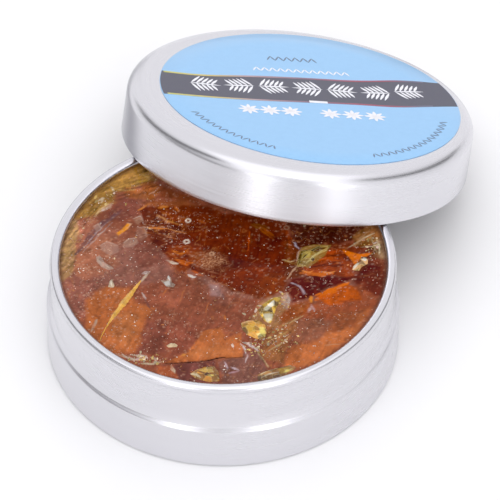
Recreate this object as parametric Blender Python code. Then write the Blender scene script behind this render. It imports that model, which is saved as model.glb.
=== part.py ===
"""A shallow slip-lid tin of cast rosin, with its lid lifted off and leaning on the rim.

Metres, +Z up. The origin is the centre of the tin's flat underside. The lid leans away
towards +Y and a little +X, with its low edge on the table and its mouth on the tin's rim.
"""

import math
import random

import bmesh
import bpy
from mathutils import Matrix, Vector

# Driving dimensions of the tin.
TIN_RADIUS = 0.0260
TIN_HEIGHT = 0.0162
NECK_RADIUS = 0.0253
SHOULDER_HEIGHT = 0.0081
SHOULDER_DROP = 0.0006
FOOT_ROUND = 0.0005
SHEET = 0.00035
RIM_RADIUS = 0.0254
RIM_BEAD = 0.00076

# Driving dimensions of the rosin and of the chips on it.
ROSIN_TOP = 0.01525
ROSIN_EDGE_ROUND = 0.0003
GAP = 0.0003

# Driving dimensions of the lid.
LID_RADIUS = 0.0262
LID_HEIGHT = 0.00855
LID_ROUND = 0.0022
LID_TILT = math.radians(22.2)
LID_TURN = math.radians(20.2)
LID_REACH = 0.0307
TABLE_GAP = 0.0001
LABEL_RADIUS = 0.02275
LABEL_THICKNESS = 0.00012
LABEL_LIFT = 0.00008
LABEL_OFFSET = Vector((0.00104, 0.00066))

ROUND_STEPS = 64
ARC_STEPS = 5

# Chips that lie on the rosin: name, place, length, width, height, turn in degrees, seed.
CHIPS = (
    ("yellow_shard_middle", (0.0069, -0.0092), 0.0064, 0.0030, 0.00060, 58, 3),
    ("yellow_shard_front", (0.0043, -0.0130), 0.0048, 0.0032, 0.00050, 155, 5),
    ("yellow_shard_back", (0.0126, 0.0021), 0.0062, 0.0026, 0.00050, 42, 8),
    ("clear_shard_right", (0.0202, 0.0007), 0.0040, 0.0020, 0.00055, 50, 2),
    ("yellow_shard_rim_left", (-0.0022, -0.0215), 0.0044, 0.0026, 0.00050, 8, 6),
    ("yellow_shard_rim_right", (0.0078, -0.0205), 0.0056, 0.0022, 0.00045, 20, 9),
    ("cream_flake_front", (-0.0073, -0.0161), 0.0018, 0.0009, 0.00030, 170, 4),
    ("grey_flake_middle", (-0.0085, -0.0037), 0.0024, 0.0015, 0.00030, 30, 7),
    ("cream_flake_left", (-0.0162, -0.0034), 0.0013, 0.0011, 0.00035, 75, 1),
    ("grey_flake_left", (-0.0173, -0.0002), 0.0030, 0.0014, 0.00030, 140, 10),
)
SLIVER_LENGTH = 0.0130
SLIVER_WIDTH = 0.0009
SLIVER_HEIGHT = 0.00035
SLIVER_BOW = 0.0010
SLIVER_START = Vector((-0.0118, -0.0036))
SLIVER_HEADING = math.radians(245)

ALUMINIUM = ("satin_aluminium", (0.80, 0.80, 0.82, 1.0), 0.32, 1.0)
AMBER = ("amber_rosin", (0.36, 0.10, 0.03, 1.0), 0.12, 0.0)
YELLOW = ("yellow_rosin", (0.62, 0.50, 0.10, 1.0), 0.10, 0.0)
PALE = ("pale_rosin", (0.72, 0.62, 0.48, 1.0), 0.25, 0.0)
PRINT = ("label_print", (0.40, 0.66, 0.92, 1.0), 0.35, 0.0)


def clear_scene():
    for obj in list(bpy.data.objects):
        bpy.data.objects.remove(obj, do_unlink=True)


def material(look):
    name, colour, roughness, metallic = look
    made = bpy.data.materials.get(name) or bpy.data.materials.new(name)
    made.use_nodes = True
    shader = made.node_tree.nodes["Principled BSDF"]
    shader.inputs["Base Color"].default_value = colour
    shader.inputs["Roughness"].default_value = roughness
    shader.inputs["Metallic"].default_value = metallic
    return made


def add_object(name, mesh, look, parent=None):
    obj = bpy.data.objects.new(name, mesh)
    obj.data.materials.append(material(look))
    obj.parent = parent
    bpy.context.collection.objects.link(obj)
    return obj


def arc(centre, radius, start, end, steps=ARC_STEPS):
    """Points (radius, height) on an arc from one angle to another, in degrees."""
    angles = [math.radians(start + (end - start) * i / steps) for i in range(steps + 1)]
    return [
        (centre[0] + radius * math.cos(a), centre[1] + radius * math.sin(a)) for a in angles
    ]


def add_turned(name, profile, look, parent=None):
    """A solid of revolution about local +Z. The profile starts and ends on the axis."""
    mesh = bpy.data.meshes.new(name)
    points = [(radius, 0.0, height) for radius, height in profile]
    edges = [(i, i + 1) for i in range(len(points) - 1)]
    mesh.from_pydata(points, edges, [])
    obj = add_object(name, mesh, look, parent)
    screw = obj.modifiers.new("turn", "SCREW")
    screw.axis = "Z"
    screw.steps = ROUND_STEPS
    screw.render_steps = ROUND_STEPS
    screw.use_merge_vertices = True
    screw.merge_threshold = 0.000001
    screw.use_smooth_shade = True
    return obj


def tin_profile():
    """The drawn cup: up inside the wall, round the rolled rim, and down outside."""
    inner = NECK_RADIUS - SHEET
    bead = (RIM_RADIUS - RIM_BEAD, TIN_HEIGHT - RIM_BEAD)
    meet = -math.degrees(math.acos((inner - bead[0]) / RIM_BEAD))
    under = -math.degrees(math.acos((NECK_RADIUS - bead[0]) / RIM_BEAD))
    rim = arc(bead, RIM_BEAD, 360 + meet, 90, 8) + arc(bead, RIM_BEAD, 90, under, 5)[1:]
    step = TIN_RADIUS - NECK_RADIUS
    shoulder = [
        (
            NECK_RADIUS + step * math.sin(math.radians(a)),
            SHOULDER_HEIGHT - SHOULDER_DROP * (1 - math.cos(math.radians(a))),
        )
        for a in (0, 30, 60, 90)
    ]
    foot = arc((TIN_RADIUS - FOOT_ROUND, FOOT_ROUND), FOOT_ROUND, 0, -90, 4)
    return [(0, SHEET), (inner, SHEET)] + rim + shoulder + foot + [(0, 0)]


def add_tin():
    return add_turned("tin_base", tin_profile(), ALUMINIUM)


def rosin_profile():
    """The cast cake fills the cup and narrows under the rolled rim."""
    wide = NECK_RADIUS - SHEET - GAP
    bead_low = TIN_HEIGHT - 2 * RIM_BEAD
    throat = RIM_RADIUS - 2 * RIM_BEAD - GAP
    low = SHEET + GAP
    edge = ROSIN_EDGE_ROUND
    top = arc((throat - edge, ROSIN_TOP - edge), edge, 90, 0, 2)
    return [(0, ROSIN_TOP)] + top + [(throat, bead_low - GAP), (wide, bead_low - 2 * GAP)] + [
        (wide, low),
        (0, low),
    ]


def add_rosin():
    return add_turned("rosin_cake", rosin_profile(), AMBER)


def add_chip(name, place, length, width, height, turn, seed):
    """One flat, faceted splinter: the hull of a jagged outline and a smaller broken top."""
    rng = random.Random(seed)
    chip = bmesh.new()
    low = ROSIN_TOP + GAP
    heading = Matrix.Rotation(math.radians(turn), 2)
    for level, scale, sides in ((0.0, 1.0, 8), (0.45, 0.93, 7), (1.0, 0.55, 4)):
        for i in range(sides):
            angle = 2 * math.pi * (i + rng.uniform(-0.3, 0.3)) / sides
            reach = scale * rng.uniform(0.86, 1.0) / 2
            flat = heading @ Vector(
                (length * reach * math.cos(angle), width * reach * math.sin(angle))
            )
            rise = level * height * (rng.uniform(0.7, 1.0) if level == 1.0 else 1.0)
            chip.verts.new((place[0] + flat.x, place[1] + flat.y, low + rise))
    hull = bmesh.ops.convex_hull(chip, input=chip.verts)
    inside = [v for v in hull["geom_interior"] if isinstance(v, bmesh.types.BMVert)]
    bmesh.ops.delete(chip, geom=inside, context="VERTS")
    bmesh.ops.recalc_face_normals(chip, faces=chip.faces)
    mesh = bpy.data.meshes.new(name)
    chip.to_mesh(mesh)
    chip.free()
    look = YELLOW if "shard" in name else PALE
    return add_object(name, mesh, look)


def sliver_point(share):
    """A point on the sliver's bowed centre line, and the direction across it."""
    along = Vector((math.cos(SLIVER_HEADING), math.sin(SLIVER_HEADING)))
    across = Vector((-along.y, along.x))
    bow = SLIVER_BOW * 4 * share * (share - 1)
    return SLIVER_START + along * (SLIVER_LENGTH * share) + across * bow, across


def add_sliver(stations=9):
    """The long thin curved splinter: a tapering strip with a ridge along its top."""
    sliver = bmesh.new()
    low = ROSIN_TOP + GAP
    rings = []
    for i in range(stations):
        share = i / (stations - 1)
        centre, across = sliver_point(share)
        half = SLIVER_WIDTH / 2 * (0.25 + 0.75 * math.sin(math.pi * (0.15 + 0.75 * share ** 0.7)))
        rise = SLIVER_HEIGHT * (0.6 + 0.4 * math.sin(math.pi * share))
        left = centre - across * half
        right = centre + across * half
        rings.append(
            [
                sliver.verts.new((left.x, left.y, low)),
                sliver.verts.new((right.x, right.y, low)),
                sliver.verts.new((centre.x, centre.y, low + rise)),
            ]
        )
    for first, second in zip(rings, rings[1:]):
        for i in range(3):
            j = (i + 1) % 3
            sliver.faces.new((first[i], first[j], second[j], second[i]))
    sliver.faces.new(rings[0])
    sliver.faces.new(rings[-1])
    bmesh.ops.recalc_face_normals(sliver, faces=sliver.faces)
    mesh = bpy.data.meshes.new("yellow_sliver")
    sliver.to_mesh(mesh)
    sliver.free()
    return add_object("yellow_sliver", mesh, YELLOW)


def lid_profile():
    """The lid: over the flat top, down the skirt, round its edge and back up inside."""
    flat = LID_RADIUS - LID_ROUND
    outer = arc((flat, LID_HEIGHT - LID_ROUND), LID_ROUND, 90, 0)
    hem = arc((LID_RADIUS - SHEET / 2, SHEET / 2), SHEET / 2, 0, -180, 4)
    inner = arc((flat, LID_HEIGHT - LID_ROUND), LID_ROUND - SHEET, 0, 90)
    return [(0, LID_HEIGHT)] + outer + hem + inner + [(0, LID_HEIGHT - SHEET)]


def add_lid_frame():
    """The empty that carries the lid: its origin is the centre of the lid's mouth."""
    lean = Vector((math.sin(LID_TURN), math.cos(LID_TURN), 0)) * LID_REACH
    lean.z = LID_RADIUS * math.sin(LID_TILT) + TABLE_GAP
    frame = bpy.data.objects.new("lid_frame", None)
    tilt = Matrix.Rotation(-LID_TURN, 4, "Z") @ Matrix.Rotation(-LID_TILT, 4, "X")
    frame.matrix_world = Matrix.Translation(lean) @ tilt
    bpy.context.collection.objects.link(frame)
    return frame


def add_lid(frame):
    return add_turned("lid_shell", lid_profile(), ALUMINIUM, frame)


def add_label(frame):
    """The round printed label, stuck a little off centre."""
    low = LID_HEIGHT + LABEL_LIFT
    high = low + LABEL_THICKNESS
    profile = [(0, high), (LABEL_RADIUS, high), (LABEL_RADIUS, low), (0, low)]
    label = add_turned("lid_label", profile, PRINT, frame)
    label.location.xy = LABEL_OFFSET
    return label


def main():
    clear_scene()
    add_tin()
    add_rosin()
    for chip in CHIPS:
        add_chip(*chip)
    add_sliver()
    frame = add_lid_frame()
    add_lid(frame)
    add_label(frame)
    for obj in bpy.data.objects:
        if obj.modifiers:
            obj.data.shade_smooth()


main()
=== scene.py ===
"""Looks for a shallow slip-lid tin of cast rosin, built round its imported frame.

The scene is in metres with +Z up, as the frame is. Sizes and places in this file are in
millimetres unless a comment says metres: x to the right, y away from the viewer.
"""

import math
import random

import bmesh
import bpy
import numpy as np
from mathutils import Matrix, Vector


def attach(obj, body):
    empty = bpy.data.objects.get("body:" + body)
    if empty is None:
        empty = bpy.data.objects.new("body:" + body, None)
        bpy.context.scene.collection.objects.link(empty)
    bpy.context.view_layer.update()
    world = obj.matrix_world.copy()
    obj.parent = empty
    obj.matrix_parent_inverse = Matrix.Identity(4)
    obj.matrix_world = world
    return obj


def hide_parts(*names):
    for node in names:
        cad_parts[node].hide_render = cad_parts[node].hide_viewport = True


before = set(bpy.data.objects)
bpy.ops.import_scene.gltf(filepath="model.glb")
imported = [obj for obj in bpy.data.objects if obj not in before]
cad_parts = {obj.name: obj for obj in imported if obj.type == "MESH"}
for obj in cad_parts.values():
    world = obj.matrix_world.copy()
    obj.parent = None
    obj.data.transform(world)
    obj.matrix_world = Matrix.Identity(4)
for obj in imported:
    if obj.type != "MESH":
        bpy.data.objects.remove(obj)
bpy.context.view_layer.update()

MM = 0.001

# Sizes of the tin, in millimetres, as in the frame. The shoulder under its neck is drawn as a
# soft flare with a short step in it.
TIN_RADIUS = 26.0
TIN_HEIGHT = 16.2
NECK_RADIUS = 25.3
FLARE_TOP = 9.3
FLARE_DROP = 2.4
FLARE_STEPS = 24
STEP_START = 1.3
STEP_DROP = 0.8
STEP_SHARE = 0.40
FOOT_ROUND = 0.5
SHEET = 0.35
RIM_RADIUS = 25.4
RIM_BEAD = 0.76

# Sizes of the rosin cake, and the rings of its side and underside as radius and height. Under
# the bead of the rim it is a little narrower.
ROSIN_TOP = 15.25
ROSIN_RADIUS = 23.93
ROSIN_CELLS = 296
SKIRT = ((23.6, 14.7), (24.93, 13.9), (24.93, 0.37), (18.0, 0.37), (9.0, 0.37))

# Sizes and place of the lid and its label. INK is one layer of print.
LID_RADIUS = 26.2
LID_HEIGHT = 8.55
LID_ROUND = 2.2
LID_TILT = math.radians(22.2)
LID_TURN = math.radians(20.2)
LID_REACH = 30.7
TABLE_GAP = 0.1
LABEL_RADIUS = 22.75
LABEL_TOP = LID_HEIGHT + 0.12
LABEL_OFFSET = Vector((1.04, 0.66))
LABEL_TURN = math.radians(27.5)
INK = 0.012

# Steps round the axis of every turned piece.
TURNED_STEPS = 288

# Softness of a sharp painted edge, and the width from which a streak is split into fibres.
SHARP = 0.14
FIBRE_WIDTH = 0.35


# ---------- noise, in millimetres


def scatter(i, j, seed):
    """Repeatable numbers from 0 to 1, one for each pair of whole numbers."""
    n = i.astype(np.int64) * 374761393 + j.astype(np.int64) * 668265263 + seed * 974634777
    n = (n ^ (n >> 13)) * 1274126177
    n = n ^ (n >> 16)
    return (n & 0xFFFFF) / 0xFFFFF


def waves(x, y, size, seed):
    """Smooth noise from -1 to 1 with features of about this size."""
    u = x / size
    v = y / size
    i = np.floor(u)
    j = np.floor(v)
    a = u - i
    b = v - j
    a = a * a * (3 - 2 * a)
    b = b * b * (3 - 2 * b)
    low = scatter(i, j, seed) * (1 - a) + scatter(i + 1, j, seed) * a
    high = scatter(i, j + 1, seed) * (1 - a) + scatter(i + 1, j + 1, seed) * a
    return 2 * (low * (1 - b) + high * b) - 1


def rough(x, y, size, seed, octaves=4):
    """Noise with finer and finer detail, from about -1 to 1."""
    total = 0
    for k in range(octaves):
        total = total + waves(x, y, size / 2**k, seed + 17 * k) / 2**k
    return total / 1.6


def grain(x, y, heading, length, width, seed):
    """Noise drawn out into streaks along a heading in degrees."""
    c = math.cos(math.radians(heading))
    s = math.sin(math.radians(heading))
    along = (x * c + y * s) / length
    across = (y * c - x * s) / width
    return rough(along, across, 1.0, seed, 3)


def cells(x, y, size, seed):
    """(distance to a cell's wall, the cell's own number from 0 to 1) of broken ground."""
    u = x / size
    v = y / size
    i = np.floor(u)
    j = np.floor(v)
    near = np.full(u.shape, 9.0)
    second = np.full(u.shape, 9.0)
    own = np.zeros(u.shape)
    for di in (-1, 0, 1):
        for dj in (-1, 0, 1):
            a = i + di
            b = j + dj
            d = np.hypot(a + scatter(a, b, seed) - u, b + scatter(a, b, seed + 5) - v)
            closer = d < near
            second = np.where(closer, near, np.minimum(second, d))
            own = np.where(closer, scatter(a, b, seed + 9), own)
            near = np.where(closer, d, near)
    return (second - near) * size, own


def ease(t):
    """From 0 to 1 without a corner at either end."""
    t = np.clip(t, 0, 1)
    return t * t * (3 - 2 * t)


def oval(x, y, cx, cy, wide, deep):
    """1 in the middle of an oval and 0 from its edge outwards."""
    return ease(1 - np.hypot((x - cx) / wide, (y - cy) / deep))


def threads(noise, width):
    """Thin lines where a noise passes through 0."""
    return ease(1 - np.abs(noise) / width)


def to_path(x, y, path):
    """(distance to a path, share of the way along it) of every point."""
    best = np.full(x.shape, 1e9)
    share = np.zeros(x.shape)
    steps = [math.dist(a, b) for a, b in zip(path, path[1:])]
    gone = 0.0
    for (ax, ay), (bx, by), step in zip(path, path[1:], steps):
        t = ((x - ax) * (bx - ax) + (y - ay) * (by - ay)) / step**2
        t = np.clip(t, 0, 1)
        d = np.hypot(x - ax - t * (bx - ax), y - ay - t * (by - ay))
        closer = d < best
        share = np.where(closer, (gone + t * step) / sum(steps), share)
        best = np.where(closer, d, best)
        gone += step
    return best, share


def depth_inside(x, y, outline):
    """Distance to an outline, above 0 inside it and below 0 outside."""
    distance, _ = to_path(x, y, [*outline, outline[0]])
    inside = np.zeros(x.shape, bool)
    for (ax, ay), (bx, by) in zip(outline, [*outline[1:], outline[0]]):
        if ay == by:
            continue
        crosses = (ay > y) != (by > y)
        inside ^= crosses & (x < (bx - ax) * (y - ay) / (by - ay) + ax)
    return np.where(inside, distance, -distance)


# ---------- colour


def linear(colour):
    """A colour given as 0 to 255 the way a screen shows it, as light."""
    c = np.asarray(colour, float) / 255
    return np.where(c <= 0.04045, c / 12.92, ((c + 0.055) / 1.055) ** 2.4)


class Tint:
    """Paints places on the rosin, one area or streak over another."""

    def __init__(self, x, y, ground, seed=3):
        self.x = x
        self.y = y
        self.seed = seed
        self.light = np.zeros((len(x), 3)) + linear(ground)

    def lay(self, mask, colour):
        """Mixes a colour in by a mask from 0 to 1."""
        self.light += mask[:, None] * (linear(colour) - self.light)

    def area(self, colour, outline, soft=0.5, wander=0.5, strength=1.0):
        """An area with a soft, wandering edge."""
        self.seed += 1
        x = self.x + wander * rough(self.x, self.y, 2.2, self.seed)
        y = self.y + wander * rough(self.x, self.y, 2.2, self.seed + 50)
        self.lay(strength * ease(depth_inside(x, y, outline) / soft + 0.5), colour)

    def streak(self, colour, path, width=0.25, strength=1.0, wander=0.12):
        """A line that thins towards both ends, split into fibres where it is wide."""
        self.seed += 1
        x = self.x + wander * rough(self.x, self.y, 0.7, self.seed)
        y = self.y + wander * rough(self.x, self.y, 0.7, self.seed + 50)
        distance, share = to_path(x, y, path)
        half = width / 2 * (0.35 + 0.65 * np.sin(np.pi * share))
        half = half * (1 + 0.6 * rough(self.x, self.y, 0.9, self.seed + 90, 3))
        mask = ease((half - distance) / SHARP + 0.5)
        if width > FIBRE_WIDTH:
            (ax, ay), (bx, by) = path[0], path[-1]
            heading = math.degrees(math.atan2(by - ay, bx - ax))
            fibres = grain(self.x, self.y, heading, 1.6, 0.24, self.seed + 30)
            mask = mask * np.clip(0.9 + 1.2 * fibres, 0, 1)
        self.lay(strength * mask, colour)

    def ring(self, colour, centre, radius, width=0.2):
        """The outline of a small bubble."""
        distance = np.abs(np.hypot(self.x - centre[0], self.y - centre[1]) - radius)
        self.lay(ease((width / 2 - distance) / SHARP + 0.5), colour)

    def shade(self, amount):
        """Lightens and darkens without a change of hue."""
        self.light *= np.clip(1 + amount, 0.2, 3)[:, None]


# ---------- mesh helpers


def add_mesh(name, points, faces, material, smooth=True):
    """A mesh object from points in millimetres."""
    mesh = bpy.data.meshes.new(name)
    mesh.from_pydata([(x * MM, y * MM, z * MM) for x, y, z in points], [], faces)
    mesh.polygons.foreach_set("use_smooth", [smooth] * len(mesh.polygons))
    mesh.materials.append(material)
    mesh.update()
    place = mesh.attributes.new("place", "FLOAT_VECTOR", "POINT")
    place.data.foreach_set("vector", (np.array(points, np.float32) * MM).ravel())
    piece = bpy.data.objects.new(name, mesh)
    bpy.context.scene.collection.objects.link(piece)
    return piece


def give_tint(piece, light, gloss=1.0):
    """Stores one colour, and how glossy it is there, at each point of the piece."""
    values = np.ones((len(light), 4), np.float32)
    values[:, :3] = light
    values[:, 3] = gloss
    layer = piece.data.color_attributes.new("tint", "FLOAT_COLOR", "POINT")
    layer.data.foreach_set("color", values.ravel())


def turned(name, profile, material):
    """A solid of revolution about local +Z from a profile that starts and ends on it."""
    points = [(0, 0, profile[0][1])]
    rings = []
    for radius, height in profile[1:-1]:
        rings.append(len(points))
        for k in range(TURNED_STEPS):
            angle = 2 * math.pi * k / TURNED_STEPS
            points.append((radius * math.cos(angle), radius * math.sin(angle), height))
    points.append((0, 0, profile[-1][1]))
    faces = []
    for k in range(TURNED_STEPS):
        n = (k + 1) % TURNED_STEPS
        faces.append((0, rings[0] + n, rings[0] + k))
        for low, high in zip(rings, rings[1:]):
            faces.append((low + k, low + n, high + n, high + k))
        faces.append((len(points) - 1, rings[-1] + k, rings[-1] + n))
    piece = add_mesh(name, points, faces, material)
    face_out(piece)
    return piece


def face_out(piece):
    """Turns every face of a closed mesh outwards."""
    work = bmesh.new()
    work.from_mesh(piece.data)
    bmesh.ops.recalc_face_normals(work, faces=work.faces)
    work.to_mesh(piece.data)
    work.free()


def arc(centre, radius, start, end, steps):
    """Points (radius, height) on an arc from one angle to another, in degrees."""
    angles = [math.radians(start + (end - start) * i / steps) for i in range(steps + 1)]
    return [(centre[0] + radius * math.cos(a), centre[1] + radius * math.sin(a)) for a in angles]


def line(start, end, steps):
    """Points from one place to another, both ends left out."""
    return [tuple(a + (b - a) * i / steps for a, b in zip(start, end)) for i in range(1, steps)]


# ---------- material helpers


class Nodes:
    """Short ways to add nodes to one tree."""

    def __init__(self, tree):
        self.tree = tree

    def node(self, kind, inputs=None, **settings):
        """A node with its settings; inputs are values or sockets to link from."""
        made = self.tree.nodes.new(kind)
        for key, value in settings.items():
            setattr(made, key, value)
        for key, value in (inputs or {}).items():
            self.feed(made.inputs[key], value)
        return made

    def feed(self, socket, value):
        if isinstance(value, bpy.types.NodeSocket):
            self.tree.links.new(value, socket)
        else:
            socket.default_value = value

    def split(self, vector):
        return self.node("ShaderNodeSeparateXYZ", {0: vector}).outputs

    def maths(self, operation, *values):
        return self.node("ShaderNodeMath", dict(enumerate(values)), operation=operation).outputs[0]

    def times(self, first, *others):
        for other in others:
            first = self.maths("MULTIPLY", first, other)
        return first

    def plus(self, first, second):
        return self.maths("ADD", first, second)

    def blend(self, first, second, share):
        """A weighted mean of two values; the share is the first one's."""
        return self.plus(self.times(first, share), self.times(second, 1 - share))

    def remap(self, value, low, high, to_low=0.0, to_high=1.0, **settings):
        """The value moved from one range to another and kept inside it."""
        inputs = {
            "Value": value,
            "From Min": low,
            "From Max": high,
            "To Min": to_low,
            "To Max": to_high,
        }
        return self.node("ShaderNodeMapRange", inputs, **settings).outputs[0]

    def fade(self, value, start, end):
        """0 up to start, 1 past end, smooth between."""
        return self.remap(value, start, end, interpolation_type="SMOOTHSTEP")

    def hump(self, value, centre, width, power=2.0):
        """1 at the centre, falling away over the width."""
        off = self.maths("DIVIDE", self.maths("SUBTRACT", value, centre), width)
        off = self.maths("POWER", self.maths("ABSOLUTE", off), power)
        return self.maths("EXPONENT", self.times(off, -1.0))

    def less(self, value, share):
        """1 less a share of the value."""
        return self.maths("SUBTRACT", 1.0, self.times(value, share))


class Look(Nodes):
    """One material with a Principled shader."""

    def __init__(self, name, **plain):
        self.material = bpy.data.materials.new(name)
        self.material.use_nodes = True
        super().__init__(self.material.node_tree)
        self.shader = self.tree.nodes["Principled BSDF"]
        for socket, value in plain.items():
            self.set(socket.replace("_", " "), value)

    def set(self, socket, value):
        self.feed(self.shader.inputs[socket], value)

    def place(self):
        """Where a point is in the frame that its piece was made in."""
        return self.node("ShaderNodeAttribute", attribute_name="place").outputs["Vector"]

    def noise(self, vector, scale, detail, roughness):
        inputs = {"Vector": vector, "Scale": scale, "Detail": detail, "Roughness": roughness}
        return self.node("ShaderNodeTexNoise", inputs).outputs["Fac"]

    def mix(self, share, first, second, blend="MIX"):
        made = self.node("ShaderNodeMix", data_type="RGBA", blend_type=blend)
        for key, value in ((0, share), (6, first), (7, second)):
            self.feed(made.inputs[key], value)
        return made.outputs[2]

    def scaled(self, colour, share):
        """A colour times one number."""
        grey = self.node("ShaderNodeCombineColor", {0: share, 1: share, 2: share}).outputs[0]
        return self.mix(1.0, colour, grey, "MULTIPLY")

    def bump(self, height, strength, depth):
        inputs = {"Height": height, "Strength": strength, "Distance": depth}
        return self.node("ShaderNodeBump", inputs).outputs[0]


def rgba(r, g, b):
    """A screen colour for a socket."""
    return (*linear((r, g, b)), 1.0)


ALUMINIUM = (0.715, 0.71, 0.74)


def satin_aluminium(name, seed):
    """Drawn aluminium: fine turning lines round the axis, soft wear and small scuffs.

    Scales of noise are per metre, here and in the other materials.
    """
    look = Look(name, Metallic=1.0)
    place = look.place()
    x, y, z = look.split(place)
    radius = look.maths("SQRT", look.plus(look.times(x, x), look.times(y, y)))
    turn = look.times(look.maths("ARCTAN2", y, x), 0.0006)
    around = look.node("ShaderNodeCombineXYZ", {0: radius, 1: z, 2: turn}).outputs[0]
    lines = look.noise(around, 5200.0, 2.0, 0.7)
    broad = look.noise(around, 900.0, 2.0, 0.5)
    wear = look.noise(place, 60.0 + seed, 4.0, 0.6)
    scuff = look.remap(look.noise(place, 700.0 + seed, 5.0, 0.75), 0.62, 0.78)
    light = look.blend(lines, broad, 0.5)
    bright = [c * 1.012 for c in ALUMINIUM] + [1.0]
    dark = [c * 0.975 for c in ALUMINIUM] + [1.0]
    look.set("Base Color", look.mix(look.remap(light, 0.30, 0.70), dark, bright))
    satin = look.plus(look.remap(wear, 0.3, 0.7, 0.22, 0.28), look.times(scuff, 0.04))
    look.set("Roughness", look.plus(satin, look.remap(lines, 0.3, 0.7, -0.03, 0.03)))
    look.set("Normal", look.bump(light, 0.045, 0.00003))
    return look.material


def amber(name, grit, coat_roughness):
    """Rosin: its painted body colour under a clear glassy surface."""
    look = Look(name, Coat_Roughness=coat_roughness, Coat_IOR=1.5, Specular_IOR_Level=0.02)
    painted = look.node("ShaderNodeAttribute", attribute_name="tint")
    look.set("Coat Weight", painted.outputs["Alpha"])
    place = look.place()
    fine = look.noise(place, 5200.0, 4.0, 0.65)
    mid = look.noise(place, 1500.0, 4.0, 0.6)
    cloud = look.blend(fine, mid, 0.55)
    share = look.remap(cloud, 0.30, 0.70, 1.0 - grit, 1.0 + grit)
    look.set("Base Color", look.scaled(painted.outputs["Color"], share))
    look.set("Roughness", look.remap(mid, 0.3, 0.7, 0.30, 0.48))
    look.set("Normal", look.bump(cloud, 0.35, 0.00012))
    return look.material


# ---------- the tin


def add_tin():
    """The tin's one skin: cup, rolled rim, flare and foot."""
    inner = NECK_RADIUS - SHEET
    bead = (RIM_RADIUS - RIM_BEAD, TIN_HEIGHT - RIM_BEAD)
    meet = -math.degrees(math.acos((inner - bead[0]) / RIM_BEAD))
    under = -math.degrees(math.acos((NECK_RADIUS - bead[0]) / RIM_BEAD))
    rim = arc(bead, RIM_BEAD, 360 + meet, 90, 26) + arc(bead, RIM_BEAD, 90, under, 16)[1:]
    shoulder = []
    for k in range(FLARE_STEPS + 1):
        down = FLARE_DROP * k / FLARE_STEPS
        share = (1 - STEP_SHARE) * float(ease(k / FLARE_STEPS))
        share += STEP_SHARE * float(ease((down - STEP_START) / STEP_DROP))
        shoulder.append((NECK_RADIUS + (TIN_RADIUS - NECK_RADIUS) * share, FLARE_TOP - down))
    foot = arc((TIN_RADIUS - FOOT_ROUND, FOOT_ROUND), FOOT_ROUND, 0, -90, 8)
    profile = [(0, SHEET)] + line((0, SHEET), (inner, SHEET), 5) + [(inner, SHEET)]
    profile += line(profile[-1], rim[0], 6) + rim + line(rim[-1], shoulder[0], 12)
    profile += shoulder + line(shoulder[-1], foot[0], 12) + foot
    profile += line(foot[-1], (0, 0), 5) + [(0, 0)]
    piece = turned("tin_body", profile, satin_aluminium("tin_satin_aluminium", 0))
    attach(piece, "tin")
    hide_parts("tin_base")


# ---------- the rosin

# The part of the surface that mirrors the shaded inside of the lid, so that it shows the
# body colour without a haze of light on it.
MIRROR = [
    (-13, 20), (-12.6, 12), (-11.5, 7), (-9.6, 3.4), (-7.4, 0.3), (-5, -1.8), (-1.5, -4.6),
    (2.5, -6.6), (7, -7.4), (12, -7.6), (16, -6), (19.5, -4), (23, -1), (25, 4), (25, 22),
]
MIRROR_EDGE = 0.8

# Light that the surface adds in the open and where it mirrors the lid; the factor from a body
# colour to the light it is seen with; the gloss of the darkest parts, and of the crumbs.
HAZE = 0.050
SHADE = 0.008
LIGHT = 1.16
CLEAR_GLOSS = 0.09
CRUMB_GLOSS = 0.3

# The low edge of the lid above the surface. It keeps light off the cake, so the body colour is
# painted brighter near it, by this gain and over this reach.
LID_EDGE = [(-7, 18.5), (-6.5, 15), (-4, 13), (0, 11), (4, 9.5), (8, 8.5), (12, 8), (24, 8.2)]
EDGE_GAIN = 1.4
EDGE_REACH = 2.6

# Colours as a screen shows them, named for what they look like.
GROUND = (140, 78, 56)
OLIVE = (164, 120, 56)
OLIVE_PALE = (174, 132, 84)
RUST = (150, 84, 42)
BROWN = (126, 64, 36)
PLUM = (124, 68, 54)
MAUVE = (146, 94, 80)
CLAY = (160, 98, 76)
EMBER = (104, 40, 18)
MAHOGANY = (98, 36, 17)
CHESTNUT = (118, 46, 12)
BLACKISH = (84, 38, 28)
FLAME = (212, 108, 18)
TANGERINE = (184, 104, 58)
APRICOT = (190, 116, 68)
SIENNA = (145, 80, 58)
CREAM = (232, 214, 190)
ASH = (170, 140, 138)
GLINT = (206, 178, 160)

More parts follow.
